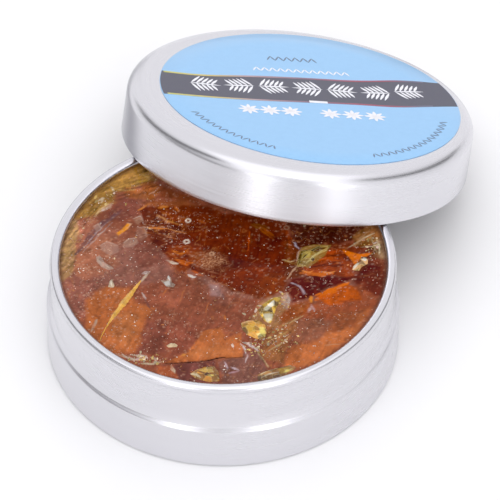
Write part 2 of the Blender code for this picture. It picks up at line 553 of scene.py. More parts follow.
AREAS = [
    # colour, softness, wander, strength, outline; a later area lies over the earlier ones
    (SIENNA, 1.5, 0.8, 1.0, [(-12, 0), (-8, 0), (0, -5), (8, -8), (6, -17), (-6, -20), (-13, -18)]),
    (CLAY, 1.2, 0.8, 0.9, [(-24, 8), (-19, 9), (-15, 6), (-14, 0), (-17, -5), (-24, -8)]),
    (MAUVE, 1.2, 0.6, 0.9, [(-19, 3), (-13, 5), (-8, 2), (-7, -3), (-14, -4.5), (-19, -4)]),
    (PLUM, 0.7, 0.6, 0.8, [(-13, 5.5), (-10.5, 4), (-8, 0.5), (-12, -0.5), (-13, 2)]),
    (PLUM, 0.8, 0.5, 1.0, [(-17.5, 10), (-14.5, 13.6), (-12.4, 13), (-12.4, 10), (-15, 8.6)]),
    ((150, 92, 78), 1.0, 0.6, 0.8, [(-23, -1), (-18, -1), (-17.5, -6), (-20, -11), (-23, -8)]),
    ((192, 150, 90), 0.8, 0.6, 0.7, [(-22, 11.4), (-19, 14.2), (-16.6, 12.8), (-19.6, 9.6)]),
    ((184, 114, 84), 1.2, 0.7, 0.7, [(-21, 5.4), (-16.4, 5.4), (-15.4, 0), (-20, -3.6), (-22.4, -1)]),
    (OLIVE, 1.0, 0.7, 1.0, [(-12, 21), (-10.4, 17.4), (-13, 15.7), (-16, 15), (-16, 12.6),
        (-20, 9.4), (-24, 8), (-22, 14)]),
    (OLIVE_PALE, 0.7, 0.5, 0.9, [(-24, 9), (-21.6, 9), (-21.8, 5), (-23, 0), (-24, -2)]),
    (RUST, 0.8, 0.6, 1.0, [(-15, 15.4), (-12.4, 15.8), (-10.4, 17.2), (-9, 15.6), (-10.6, 12.8),
        (-14.4, 13.6)]),
    ((138, 74, 38), 0.8, 0.5, 0.8, [(-12, 12.8), (-6, 13.4), (-1, 11), (-6, 10.8), (-12, 11.6)]),
    (BROWN, 0.8, 0.5, 1.0, [(-9.6, 16.6), (-6, 14.6), (-3.4, 12.6), (-6.4, 13), (-9.4, 13.8)]),
    (EMBER, 0.6, 0.8, 1.0, [(-12.3, 11.6), (-6, 12.4), (0, 11.4), (9, 8.6), (10, 4), (9.4, -3),
        (2, -5), (-4, -1), (-8.6, 2), (-11.6, 6.4)]),
    ((104, 44, 24), 1.0, 0.6, 0.8, [(-12, 11.6), (-5, 12), (-4.6, 6), (-8, 5), (-11.6, 7.6)]),
    (MAHOGANY, 1.2, 0.8, 0.9, [(4, 6.4), (9, 6), (9.6, 0), (7, -1), (0.6, 0), (1, 3)]),
    ((112, 46, 20), 1.4, 0.6, 0.6, [(-4, 11), (4, 9), (3.6, 6), (-2, 7)]),
    (CHESTNUT, 0.6, 0.8, 1.0, [(0.2, -0.6), (9.2, -0.6), (9.2, -4), (6.4, -6.6), (1.6, -5.2),
        (-0.6, -3)]),
    ((128, 56, 14), 0.9, 0.7, 0.8, [(6.6, -1.6), (9.6, -1.6), (9, -5), (5, -7), (4, -5)]),
    ((126, 52, 10), 0.8, 0.9, 0.9, [(-8, 3.8), (-3.4, 3.8), (-3, 0.4), (-5.6, -1), (-7.6, 0.2)]),
    ((108, 50, 26), 0.8, 0.6, 1.0, [(9, 5), (12, 4.4), (16, 4.8), (12, -1.6), (9, -3)]),
    ((112, 50, 30), 0.8, 0.6, 1.0, [(15, 4.6), (21, 5), (23.8, 3), (23.8, -3), (19, -1), (17, 1)]),
    (BLACKISH, 0.7, 0.5, 1.0, [(9.2, 9), (23, 9), (20, 5.6), (17, 4.2), (14.6, 4.8), (10.6, 3.6),
        (9.8, 5)]),
    ((128, 84, 44), 0.7, 0.5, 0.9, [(19, 6), (21.4, 8.4), (23.6, 8), (24.4, 1), (22.2, 1.6),
        (21.6, 4.6), (19.4, 4)]),
    ((150, 116, 72), 0.5, 0.4, 0.7, [(22, 5.4), (24, 5.4), (24, 1.4), (22.8, 1.6)]),
    ((144, 60, 24), 0.8, 0.8, 1.0, [(11.6, 0), (13, 1.2), (15.8, 3.8), (18, 3.2), (19, 0.4),
        (19, -2), (12, -1.6)]),
    ((96, 30, 20), 0.6, 0.5, 1.0, [(9.6, -2.4), (13, -1.6), (19, -2), (21.6, 0.6), (23, 0),
        (23, -2.8), (18.6, -2.6), (13, -6), (10.2, -7.6), (9.4, -5)]),
    ((100, 38, 24), 0.8, 0.6, 1.0, [(19, -2.4), (22, -1), (24, -1), (23.6, -6), (21, -6.4),
        (19.6, -4)]),
    ((152, 78, 48), 1.2, 0.8, 1.0, [(12.6, -7.6), (17, -5.2), (20.4, -4), (22.6, -7), (20.6, -11),
        (13, -10.4), (9, -11)]),
    ((184, 82, 12), 0.6, 0.6, 0.9, [(13.2, -6.2), (17.4, -3.3), (19.4, -4.4), (20, -6.6),
        (15.4, -8.2)]),
    ((145, 87, 64), 1.0, 0.7, 1.0, [(9.4, -11.4), (13, -10.6), (17.6, -11), (16.6, -14),
        (11, -15.4), (9, -14)]),
    (TANGERINE, 1.2, 0.7, 1.0, [(8.4, -20.6), (9.6, -16.6), (14, -14.6), (17.6, -11), (21.4, -8.8),
        (19, -14), (13, -20)]),
    ((138, 74, 44), 0.9, 0.7, 0.9, [(17, -9.4), (20.6, -9), (19, -12), (16.6, -13.2), (15.6, -12.4)]),
    ((154, 98, 58), 0.8, 0.7, 0.9, [(5.6, -12.6), (8.6, -11), (11.6, -9.6), (9.6, -14.4),
        (8.4, -20), (5.6, -18)]),
    ((176, 132, 84), 1.0, 0.6, 0.6, [(3.6, -12.4), (4.8, -9), (6.4, -6.6), (9.2, -5.4), (9.6, -8),
        (7.8, -12.2)]),
    ((176, 136, 88), 0.5, 0.5, 0.8, [(-24, 9), (-21.4, 9), (-21.6, 4), (-22.2, -2), (-24, -4)]),
    ((156, 78, 34), 0.6, 0.5, 0.9, [(10.2, -7.6), (12.8, -6.6), (12.2, -9.4), (8.6, -11.6),
        (8, -10.4)]),
    ((130, 84, 72), 0.5, 0.3, 1.0, [(3, -17.6), (5, -17), (6.4, -20.6), (4.6, -24), (0, -24),
        (-0.6, -19.4)]),
    ((118, 66, 58), 0.6, 0.4, 1.0, [(-8.6, -19.9), (-1, -18.9), (0, -24), (-5, -24), (-9, -21)]),
    ((176, 92, 54), 0.6, 0.5, 0.8, [(-9.4, -20), (-7, -19.8), (-6.6, -22.4), (-9.6, -21.8)]),
    (TANGERINE, 0.4, 0.3, 1.0, [(-8.2, -19.5), (-5.4, -17.6), (-4.2, -16), (-3.2, -13.4),
        (0.4, -12.2), (2.6, -13), (3, -18.2)]),
    (APRICOT, 0.8, 0.6, 0.4, [(-5.6, -18.6), (-3.6, -16.4), (0.2, -15.8), (2.4, -17.8)]),
    ((152, 84, 64), 0.7, 0.5, 0.8, [(-0.4, -12.2), (2.8, -10.6), (2.8, -13.4), (0.4, -14.4)]),
    (PLUM, 0.9, 0.7, 0.9, [(-12.4, -12.4), (-9.4, -10.8), (-8, -12), (-8.4, -17.6), (-12.6, -17.8)]),
    ((140, 76, 58), 0.8, 0.5, 0.9, [(-8.2, -11), (-3.8, -10.8), (-3.6, -14.6), (-5, -17), (-8, -18.4)]),
    (TANGERINE, 1.0, 0.6, 1.0, [(-19.8, -7), (-17, -4.4), (-14, -4.6), (-13, -7.4), (-10, -9),
        (-11.4, -12), (-12.4, -17.4), (-16.4, -18), (-20, -13)]),
    (APRICOT, 1.0, 0.7, 0.55, [(-16, -9.6), (-12, -9.6), (-12, -13), (-13.4, -16.6), (-16.4, -14)]),
    (CHESTNUT, 1.2, 0.8, 1.0, [(-9, 24), (-3, 15), (4, 12), (24, 9), (24, 24)]),
    (PLUM, 1.0, 0.8, 0.9, [(-6, 22), (-1, 15), (5, 14), (3, 21)]),
    (TANGERINE, 0.7, 0.6, 0.9, [(4, 20), (8, 13.5), (14, 12), (12, 17), (8, 22)]),
    (OLIVE, 0.8, 0.6, 0.9, [(11, 20), (15, 14), (21, 11.6), (20, 15), (14, 21)]),
    (EMBER, 0.8, 0.7, 0.9, [(-1, 24), (3, 19), (9, 22.6), (6, 24)]),
    ((150, 92, 74), 1.2, 0.5, 0.6, [(-2.8, -2.2), (0, -4.4), (2, -8), (-1, -8), (-3.4, -4)]),
    (ASH, 0.8, 0.4, 0.55, [(-2.2, -4), (-0.8, -4.2), (0, -6.6), (-1.6, -6.2)]),
]

STREAKS = [
    # colour, width, strength, path; laid over the areas in this order
    ((192, 128, 66), 0.3, 0.9, [(-9.9, 10.2), (-8.4, 9.1), (-6.4, 8.2)]),
    ((206, 118, 40), 0.28, 0.9, [(-11.9, 7.6), (-8.4, 7.3)]),
    ((206, 128, 60), 0.24, 0.9, [(-8.4, 7.5), (-7, 6.9), (-5.4, 6.5)]),
    ((204, 120, 44), 0.4, 0.9, [(-12.6, 11), (-11.8, 11.6), (-10.8, 12.4)]),
    ((206, 124, 50), 0.5, 0.8, [(-9.6, 11.6), (-8.2, 11.9)]),
    ((206, 116, 44), 0.4, 0.8, [(-7.2, 11.8), (-6.6, 10.9)]),
    ((196, 116, 48), 0.24, 0.8, [(-11.8, 7.4), (-11.2, 6.2)]),
    ((190, 104, 44), 0.22, 0.8, [(-8.4, 5.6), (-6.8, 5.3)]),
    ((170, 84, 36), 0.4, 0.8, [(-3.9, 9.4), (-2.6, 8.6)]),
    ((180, 76, 24), 0.32, 0.85, [(3.9, 7), (3.7, 5), (3.6, 3)]),
    ((164, 82, 26), 0.9, 0.8, [(5.4, 8), (6.8, 6.3), (7.4, 5.4)]),
    ((140, 88, 34), 1.0, 0.6, [(4.2, 8.4), (6.6, 7.6)]),
    ((150, 62, 24), 0.5, 0.8, [(9.2, 7.4), (9.8, 5.4), (9.7, 3.8)]),
    ((214, 104, 26), 0.7, 0.8, [(-6.9, 1.0), (-5.4, 0.2), (-4.4, 0.6)]),
    ((206, 110, 30), 0.4, 0.8, [(-7.4, 2.9), (-6.2, 2.2), (-5.2, 3.1)]),
    ((200, 90, 28), 0.5, 0.7, [(-4.6, -1.2), (-3, -2.2)]),
    (CREAM, 0.42, 0.9, [(-8.3, 0.9), (-7.3, 0.35), (-6.6, 0.2)]),
    ((214, 108, 30), 0.9, 0.8, [(11.3, -1.4), (13, -1.6), (16, -1.5)]),
    ((190, 82, 28), 0.6, 0.8, [(13, 1.0), (15, 1.6), (17, 1.2)]),
    ((176, 70, 28), 0.5, 0.8, [(14.4, 2.6), (16.4, 3.0)]),
    ((84, 30, 22), 0.9, 0.8, [(12.6, -0.4), (14.6, 0.2), (17.6, 0.2)]),
    ((88, 34, 24), 0.6, 0.8, [(15.6, 2.2), (17.6, 2.2), (19, 0.8)]),
    ((224, 130, 50), 0.3, 0.9, [(11.6, -0.9), (12.6, -1.2), (13.2, -0.9)]),
    ((232, 140, 60), 0.26, 0.8, [(14, -1.1), (15.4, -1.3), (16.4, -1.0)]),
    ((206, 176, 130), 0.2, 0.9, [(8.6, 1.3), (9.8, 0.9), (10.6, 1.2)]),
    ((196, 150, 110), 0.22, 0.8, [(9.3, -2.6), (10.2, -0.8), (11, 0.4)]),
    ((186, 176, 190), 0.24, 0.8, [(10.5, 5.0), (10.7, 4.0), (11.2, 3.5)]),
    ((190, 180, 150), 0.22, 0.8, [(19.2, 4.6), (20.8, 5.6), (22.2, 6.6)]),
    ((186, 170, 130), 0.2, 0.8, [(20.2, 3.8), (22, 3.9), (23, 4.3)]),
    ((150, 130, 90), 0.24, 0.8, [(21.6, 6.2), (22, 4.4), (22.4, 2.6)]),
    ((206, 190, 150), 0.2, 0.8, [(22.6, 5.2), (22.9, 3.8), (22.9, 2.2)]),
    ((196, 184, 150), 0.2, 0.7, [(18.4, 3.9), (19.6, 4.7)]),
    ((186, 168, 178), 0.24, 0.85, [(9.9, -3.3), (11.2, -4.1), (11.9, -5.6)]),
    ((160, 132, 140), 0.18, 0.6, [(11.3, -4.6), (11.8, -5.8)]),
    ((226, 138, 36), 0.7, 0.9, [(12.7, -6.1), (12.9, -7.4)]),
    ((218, 108, 16), 1.0, 0.95, [(13.6, -6.0), (16, -5), (18.2, -3.4)]),
    ((204, 94, 14), 0.9, 0.8, [(13.4, -7), (16, -5.6)]),
    ((206, 186, 176), 0.3, 0.7, [(9.3, -5.4), (9.6, -7), (9.3, -8.8)]),
    ((190, 160, 146), 0.6, 0.6, [(8.9, -6), (9.0, -8.6)]),
    ((210, 180, 178), 0.5, 0.7, [(12.4, -9.4), (12.8, -8), (13.4, -9)]),
    ((196, 160, 110), 0.22, 0.8, [(8.6, -12), (10.4, -11), (12, -9.8)]),
    ((196, 168, 120), 0.24, 0.7, [(6.6, -17), (8.6, -15.4), (9.6, -14.2)]),
    ((190, 150, 90), 0.2, 0.7, [(7.6, -14.6), (9, -13.4), (9.8, -12.6)]),
    ((198, 160, 110), 0.2, 0.6, [(6.2, -15.6), (7.8, -14.2)]),
    ((206, 178, 130), 0.3, 0.8, [(5, -17.4), (6, -19), (6.6, -20.2)]),
    ((222, 206, 206), 0.3, 0.9, [(2.6, -15.6), (3.2, -16.6), (3.4, -17.6)]),
    ((232, 218, 216), 0.4, 0.9, [(3.2, -15.4), (4.4, -16.2), (5.2, -17.2)]),
    ((214, 190, 186), 0.24, 0.8, [(3.6, -17.8), (3.2, -19.4)]),
    ((205, 180, 186), 0.28, 0.9, [(0.3, -19.2), (0.7, -20.6)]),
    ((215, 190, 196), 0.36, 0.9, [(1.2, -20.2), (2.4, -20.9)]),
    ((190, 150, 156), 0.28, 0.8, [(0.9, -21.4), (2.2, -21.0)]),
    ((52, 20, 14), 0.26, 1.0, [(-8.4, -19.6), (-3.4, -19.2), (-0.4, -18.4), (3, -18.2)]),
    ((70, 30, 26), 0.22, 0.7, [(5.2, -17.2), (6.2, -20)]),
    ((224, 148, 70), 0.5, 0.7, [(-5.9, -18), (-5.4, -17.8)]),
    ((206, 120, 52), 0.3, 0.7, [(0.2, -10), (0.4, -11)]),
    ((196, 112, 60), 0.2, 0.6, [(-2.1, -7.6), (-2.6, -9.6)]),
    ((196, 112, 60), 0.2, 0.6, [(-8.2, -4.8), (-8.9, -6.4)]),
    ((190, 112, 66), 0.2, 0.6, [(-5.4, -4.2), (-6.4, -7.6)]),
    ((178, 110, 80), 0.18, 0.6, [(-7, -8), (-7.3, -12)]),
    ((230, 216, 196), 0.45, 0.9, [(-13.2, -17.9), (-12, -18.2), (-11, -18.1)]),
    ((206, 190, 170), 0.4, 0.8, [(-14.6, -17.8), (-13, -18.8), (-11.4, -19)]),
    ((222, 190, 186), 0.5, 0.8, [(-12.8, -18.9), (-11.2, -18.7)]),
    ((205, 190, 160), 0.3, 0.8, [(-12, -19.5), (-10, -19.7), (-8.8, -19.2)]),
    ((196, 150, 120), 0.3, 0.7, [(-15.6, -17.6), (-14.2, -18.4)]),
    ((214, 180, 170), 0.3, 0.8, [(-9.8, -18.4), (-9.5, -19.3)]),
    ((216, 206, 176), 0.5, 0.9, [(-7.5, -20), (-7.0, -21.4)]),
    ((108, 76, 80), 1.1, 0.75, [(-21.6, 2), (-19.6, 5.4), (-17.4, 8.6), (-15, 11)]),
    ((190, 164, 156), 0.16, 0.7, [(-20.6, 2.4), (-18.6, 5.4), (-16.4, 8.4)]),
    ((176, 150, 150), 0.2, 0.8, [(-20.2, 3.6), (-18.8, 6.2), (-17, 8.6)]),
    ((205, 170, 150), 0.2, 0.7, [(-18.7, 5.8), (-17.9, 6.4)]),
    ((206, 184, 160), 0.34, 0.8, [(-12.0, -3.5), (-11.4, -2.5), (-10.8, -1.6)]),
    ((190, 176, 120), 0.2, 0.85, [(10.9, 1.0), (11.3, 3.0), (12.2, 3.9), (14, 4.2)]),
    ((206, 190, 130), 0.2, 0.85, [(11.6, -0.2), (12.8, 1.2), (14.8, 2.4)]),
    ((206, 190, 130), 0.2, 0.8, [(11.2, 2.9), (12.6, 2.4), (14.0, 3.2), (15.6, 4.1)]),
    ((96, 62, 26), 0.22, 0.8, [(11.2, 1.6), (12.2, 1.9), (13.2, 1.7)]),
    ((216, 176, 120), 0.34, 0.9, [(-17, 12.3), (-18.3, 11), (-19, 9.6)]),
    ((216, 186, 160), 0.8, 0.8, [(-16.4, 12.3), (-18, 10.8)]),
    ((214, 190, 150), 0.3, 0.9, [(-16.6, 15.7), (-16.2, 14.9)]),
    ((212, 190, 160), 0.3, 0.8, [(-18.6, 12.8), (-17.8, 13.4), (-18.2, 12.2)]),
    ((196, 156, 90), 0.2, 0.8, [(-16, 15.3), (-14.4, 15), (-13, 15.2)]),
    ((198, 166, 120), 0.4, 0.8, [(-21, 6.4), (-20.8, 5.2)]),
    ((196, 160, 90), 0.3, 0.8, [(-12.2, 18.4), (-11, 17.6)]),
    ((190, 150, 60), 0.24, 0.8, [(-13, 16.8), (-11, 17.2)]),
    ((120, 60, 30), 0.24, 0.8, [(-12.2, 16.4), (-10.4, 17)]),
    ((96, 44, 24), 0.24, 0.8, [(-11.6, 15.6), (-9.6, 16.4)]),
    ((200, 150, 120), 0.24, 0.8, [(-11, 14.4), (-10, 15)]),
    ((110, 70, 66), 0.3, 0.7, [(-11.4, -7), (-10.2, -9.4)]),
    ((206, 186, 176), 0.3, 0.8, [(-11.8, -5.6), (-11.2, -7)]),
    ((214, 204, 196), 0.4, 0.85, [(-11.8, -1.9), (-10.8, -1.4)]),
    ((226, 214, 204), 0.44, 0.9, [(-5.1, -2), (-4.4, -2.5), (-4.0, -2.4)]),
    ((190, 170, 150), 0.5, 0.75, [(-18.3, -11), (-18.8, -12.6), (-19, -13.6)]),
    ((205, 150, 110), 0.2, 0.7, [(14.6, -15.9), (17, -15.6)]),
    ((150, 110, 60), 0.4, 0.7, [(9.2, 1), (10.6, 0.4), (10.8, -1)]),
    ((160, 120, 60), 0.3, 0.7, [(9.0, 0.8), (9.8, 1.6)]),
    ((170, 130, 90), 0.5, 0.6, [(21.4, 7), (20, 5.2), (19.2, 4)]),
    ((190, 140, 110), 0.4, 0.6, [(-14.6, 4.2), (-13, 4.3), (-12.6, 5)]),
    ((206, 146, 116), 0.9, 0.55, [(-18.2, 3.8), (-17, 3.2), (-16.4, 2.2)]),
]

PATCHES = [
    # colour, strength, outline; sharp facets, each with a glint on its first two edges
    ((150, 112, 52), 0.85, [(10.7, 0.7), (11, 2.7), (11.5, 3.8), (13.2, 4.3), (15.9, 4.3),
        (14.9, 2.1), (12.4, -0.4)]),
    ((172, 132, 116), 0.6, [(-18.1, 3.7), (-17.1, 4.6), (-15.5, 3.8), (-15.3, 2.6), (-16.6, 1.6),
        (-17.9, 2.8)]),
    ((176, 140, 122), 0.5, [(-14.7, 4.3), (-14, 5.1), (-12.7, 5.4), (-12.4, 4.3), (-13.2, 3.5),
        (-14.4, 3.4)]),
    ((150, 108, 92), 0.5, [(-12.8, 7.4), (-11.6, 7.6), (-11.2, 5.6), (-12.2, 4.6), (-13, 5.8)]),
    ((170, 128, 104), 0.45, [(-13.4, 9.2), (-12.2, 9.8), (-11.8, 8.6), (-12.8, 8)]),
    ((190, 150, 132), 0.5, [(-19.2, 7.6), (-18.4, 8.2), (-17.9, 7.2), (-18.7, 6.6)]),
    ((230, 146, 44), 0.95, [(-14.2, 8.4), (-13.6, 8.2), (-14, 7.2), (-14.8, 6.4), (-15.5, 5.8),
        (-15.7, 6.4), (-15, 7)]),
]

RINGS = [
    # colour, centre, radius; small bubbles
    ((226, 210, 190), (-5.2, 9.1), 0.34),
    ((226, 210, 190), (-5.4, 4.8), 0.36),
    ((150, 110, 84), (9.3, 7.8), 0.36),
    ((196, 150, 110), (-1.7, 2.4), 0.3),
]

# The bright orange facet at the right, and the middle and half widths of the crackled spot.
TRIANGLE = [(17.4, 3.3), (20, 2.5), (21.8, 2.6), (20.4, 1.4), (19.2, 0.4)]
CRACKLE = (-1.9, 1.0)
CRACKLE_WIDE = 2.9
CRACKLE_DEEP = 2.4

# Fine cracks that are cut into the surface too.
RIDGES = [
    [(-8.4, -19.6), (-3.4, -19.2), (-0.4, -18.4), (3, -18.2)],
    [(-21.6, 2), (-17.4, 8.6), (-15, 11)],
]
RIDGE_DEPTH = 0.07
RIDGE_WIDTH = 0.24

# How deep the cast is sunk at most, and how far it creeps up the wall of the cup.
SINK = 0.26
CREEP = 0.09


def under_lid(x, y):
    """1 where the surface mirrors the inside of the lid, 0 where it doesn't."""
    return ease(depth_inside(x, y, MIRROR) / MIRROR_EDGE + 0.5)


def rosin_height(x, y):
    """The cast surface in millimetres: nearly flat, sunk where it cooled last."""
    r = np.hypot(x, y)
    depth = np.maximum(depth_inside(x, y, MIRROR), 0)
    z = ROSIN_TOP - SINK * under_lid(x, y) * (1 - np.exp(-depth / 4.0)) * ease((22.6 - r) / 3.0)
    z += 0.012 * rough(x, y, 6.0, 41, 2) + 0.0022 * rough(x, y, 1.4, 42, 3)
    broken, own = cells(x + 0.3 * rough(x, y, 1, 7), y, 1.1, 77)
    rubble = oval(x, y, 6.5, -16, 6.5, 6.5) + oval(x, y, -12, -18.6, 3, 3)
    rubble += 0.7 * oval(x, y, -18, 13, 5, 5)
    z += 0.05 * np.clip(rubble, 0, 1) * (own - 0.5) * ease(broken / 0.2)
    for ridge in RIDGES:
        distance, _ = to_path(x, y, ridge)
        z -= RIDGE_DEPTH * ease(1 - distance / RIDGE_WIDTH)
    z += CREEP * np.exp((r - ROSIN_RADIUS) / 0.28)
    return z


def paint_grain(tint, tangle):
    """Cloudiness all over, then grain and threads, each kept to its own part."""
    x = tint.x
    y = tint.y
    tint.shade(0.26 * rough(x, y, 3.4, 5) + 0.26 * rough(x, y, 0.9, 6))
    for amount, heading, length, width, seed, where in (
        (0.26, 68, 5.0, 0.45, 8, ease((y + 2) / -3)),
        (0.34, 80, 3.0, 0.35, 9, ease(y / 2) * ease((x + 1) / 2)),
        (0.9, 25, 2.4, 0.28, 12, ease((-8 - x) / 3) * ease((y - 12) / 3)),
        (0.7, 52, 2.6, 0.28, 14, oval(x, y, 7.5, -14.5, 5.5, 5.5)),
        (0.8, 35, 2.0, 0.3, 15, ease((x - 19.5) / 1.5) * ease((y - 1) / 2)),
        (1.0, -22, 2.2, 0.36, 16, tangle),
    ):
        tint.shade(amount * grain(x, y, heading, length, width, seed) * where)
    tint.lay(0.9 * threads(grain(x, y, -16, 3.2, 0.5, 24), 0.10) * tangle, (216, 134, 58))
    rim_left = ease((np.hypot(x, y) - 20.4) / 1.6) * ease((-14 - x) / 4) * ease((y + 4) / 4)
    tint.shade(0.8 * grain(x, y, 58, 1.4, 0.26, 25) * rim_left)
    tint.lay(0.5 * threads(rough(x, y, 1.3, 26), 0.06) * rim_left, (204, 164, 96))
    tint.shade(0.6 * rough(x, y, 0.9, 19) * oval(x, y, -5.6, 1.6, 3.4, 3.2))
    tint.shade(0.6 * grain(x, y, 15, 1.6, 0.5, 20) * oval(x, y, 15, 0.6, 4.4, 3.2))


def paint_veins(tint):
    """Light and dark cracks in patches, and large faint cells, all over."""
    x = tint.x
    y = tint.y
    for size, width, seed, strength, colour in (
        (3.0, 0.045, 71, 0.34, (206, 132, 74)),
        (3.6, 0.05, 73, 0.40, (82, 34, 24)),
    ):
        patches = ease(0.5 + 1.4 * rough(x, y, 6.0, seed + 1))
        tint.lay(strength * threads(rough(x, y, size, seed), width) * patches, colour)
    tint.shade(0.15 * rough(x, y, 0.42, 75))
    wall, own = cells(x + 0.5 * rough(x, y, 2.0, 76), y, 2.8, 77)
    tint.shade(0.20 * (own - 0.5) * ease(wall / 0.12))
    tint.lay(0.30 * ease(1 - wall / 0.07) * ease(0.4 + 1.6 * rough(x, y, 3.0, 78)), (196, 128, 84))


def paint_specks(tint, tangle):
    """The crackled spot, pale freckles and dark pits."""
    x = tint.x
    y = tint.y
    wall, _ = cells(x + 0.1 * rough(x, y, 0.5, 2), y, 0.42, 31)
    reach = np.hypot((x - CRACKLE[0]) / CRACKLE_WIDE, (y - CRACKLE[1]) / CRACKLE_DEEP)
    spot = ease(1.2 - reach + 0.4 * rough(x, y, 1.2, 33))
    tint.lay(0.55 * spot, (150, 84, 48))
    tint.lay(0.8 * spot * ease(1 - wall / 0.10), (212, 150, 98))
    wall, own = cells(x, y, 0.36, 35)
    freckles = ease((own - 0.80 + 0.16 * tangle) / 0.1) * ease((wall - 0.04) / 0.1)
    thick = 0.35 + 0.35 * rough(x, y, 4.0, 36)
    thick += 0.6 * tangle + 0.45 * ease((-12 - x) / 6) * ease((8 - y) / 6)
    tint.lay(0.58 * freckles * np.clip(thick, 0, 1), (220, 172, 142))
    wall, own = cells(x, y, 0.5, 37)
    tint.lay(0.30 * ease((own - 0.86) / 0.1) * ease((wall - 0.06) / 0.12), (60, 24, 18))


def rosin_tint(x, y):
    """(body colour, gloss) of the cake, less the light that its surface adds."""
    tint = Tint(x, y, GROUND)
    tangle = oval(x, y, -8.4, 8.4, 4.4, 4.2)
    for colour, soft, wander, strength, outline in AREAS:
        tint.area(colour, outline, soft, wander, strength)
    paint_grain(tint, tangle)
    tint.area(FLAME, TRIANGLE, 0.25, 0.1)
    paint_veins(tint)
    for colour, width, strength, path in STREAKS:
        tint.streak(colour, path, width, strength)
    for colour, strength, outline in PATCHES:
        tint.area(colour, outline, SHARP, 0.12, strength)
        tint.streak(GLINT, outline[:3], 0.16, 0.6, 0.06)
    for colour, centre, radius in RINGS:
        tint.ring(colour, centre, radius)
    paint_specks(tint, tangle)
    # Painted shade: a dark ring round the edge of the cake, where the bead of the rim shades it.
    tint.lay(0.55 * ease((np.hypot(x, y) - 23.3) / 0.5), (96, 60, 44))
    gloss = np.clip(0.86 * tint.light.min(1) / HAZE, CLEAR_GLOSS, 1)
    dark = under_lid(x, y)
    mirrored = HAZE * gloss * (1 - dark) + SHADE * dark
    shadow, _ = to_path(x, y, LID_EDGE)
    body = (tint.light - mirrored[:, None]) / LIGHT
    body *= (1 + EDGE_GAIN * np.exp(-shadow / EDGE_REACH))[:, None]
    return np.maximum(body, 0.0015), gloss


def disc_grid(count):
    """(x, y) of an even grid wrapped onto a disc of radius 1, and its border in order."""
    steps = np.linspace(-1, 1, count + 1)
    a, b = np.meshgrid(steps, steps)
    a = a.ravel()
    b = b.ravel()
    wide = np.abs(a) > np.abs(b)
    reach = np.where(wide, a, b)
    with np.errstate(divide="ignore", invalid="ignore"):
        angle = np.where(wide, math.pi / 4 * b / a, math.pi / 2 - math.pi / 4 * a / b)
    angle = np.nan_to_num(angle)
    side = count + 1
    border = list(range(side - 1))
    border += [k * side + side - 1 for k in range(side - 1)]
    border += [side * side - 1 - k for k in range(side - 1)]
    border += [(side - 1 - k) * side for k in range(side - 1)]
    return reach * np.cos(angle), reach * np.sin(angle), border


def add_rosin():
    """The cake: its painted top, and a plain skirt and underside in the cup."""
    x, y, border = disc_grid(ROSIN_CELLS)
    x = x * ROSIN_RADIUS
    y = y * ROSIN_RADIUS
    z = rosin_height(x, y)
    side = ROSIN_CELLS + 1
    faces = []
    for row in range(ROSIN_CELLS):
        for k in range(row * side, row * side + ROSIN_CELLS):
            faces.append((k, k + 1, k + 1 + side, k + side))
    points = list(zip(x.tolist(), y.tolist(), z.tolist()))
    light, gloss = rosin_tint(x, y)
    ring = border
    edge = light[border]
    tones = [light]
    for radius, height in SKIRT:
        start = len(points)
        for k in border:
            reach = radius / math.hypot(x[k], y[k])
            points.append((x[k] * reach, y[k] * reach, height))
        lower = list(range(start, start + len(border)))
        for k in range(len(border)):
            n = (k + 1) % len(border)
            faces.append((ring[k], lower[k], lower[n], ring[n]))
        ring = lower
        tones.append(edge)
    points.append((0, 0, SKIRT[-1][1]))
    tones.append(edge.mean(0, keepdims=True))
    gloss = np.concatenate([gloss, np.ones(len(points) - len(gloss))])
    for k in range(len(border)):
        faces.append((ring[k], len(points) - 1, ring[(k + 1) % len(border)]))
    piece = add_mesh("rosin_cast", points, faces, amber("amber_rosin", 0.18, 0.035))
    face_out(piece)
    give_tint(piece, np.concatenate(tones), gloss)
    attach(piece, "tin")
    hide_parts("rosin_cake")


# ---------- shards and flakes


def height_at(x, y):
    """The cast surface at one place."""
    return float(rosin_height(np.array([x]), np.array([y]))[0])


def reach_of(outline, centre, angle):
    """How far the outline is from its centre in one direction."""
    ux, uy = math.cos(angle), math.sin(angle)
    best = 0.1
    for (ax, ay), (bx, by) in zip(outline, [*outline[1:], outline[0]]):
        ex, ey = bx - ax, by - ay
        wx, wy = ax - centre[0], ay - centre[1]
        across = ux * ey - uy * ex
        if abs(across) < 1e-9:
            continue
        t = (wx * ey - wy * ex) / across
        s = (wx * uy - wy * ux) / across
        if t > 0 and -1e-6 <= s <= 1 + 1e-6:
            best = max(best, t)
    return best


# Rings and sides of every splinter's mesh, round its middle.
SPLINTER_RINGS = 22
SPLINTER_SIDES = 96


def splinter_top(u, v, rng):
    """Heights over a disc of radius 1, about 1 at most: flat facets that meet in edges."""
    top = np.full(u.shape, 9.0)
    for k in range(9):
        angle = 2 * math.pi * (k + rng.uniform(-0.35, 0.35)) / 9
        steep = rng.uniform(0.75, 1.9)
        top = np.minimum(top, steep * (1.02 - u * math.cos(angle) - v * math.sin(angle)))
    for _ in range(3):
        lean_u = rng.uniform(-0.3, 0.3)
        lean_v = rng.uniform(-0.3, 0.3)
        top = np.minimum(top, rng.uniform(0.72, 0.95) + lean_u * u + lean_v * v)
    return top


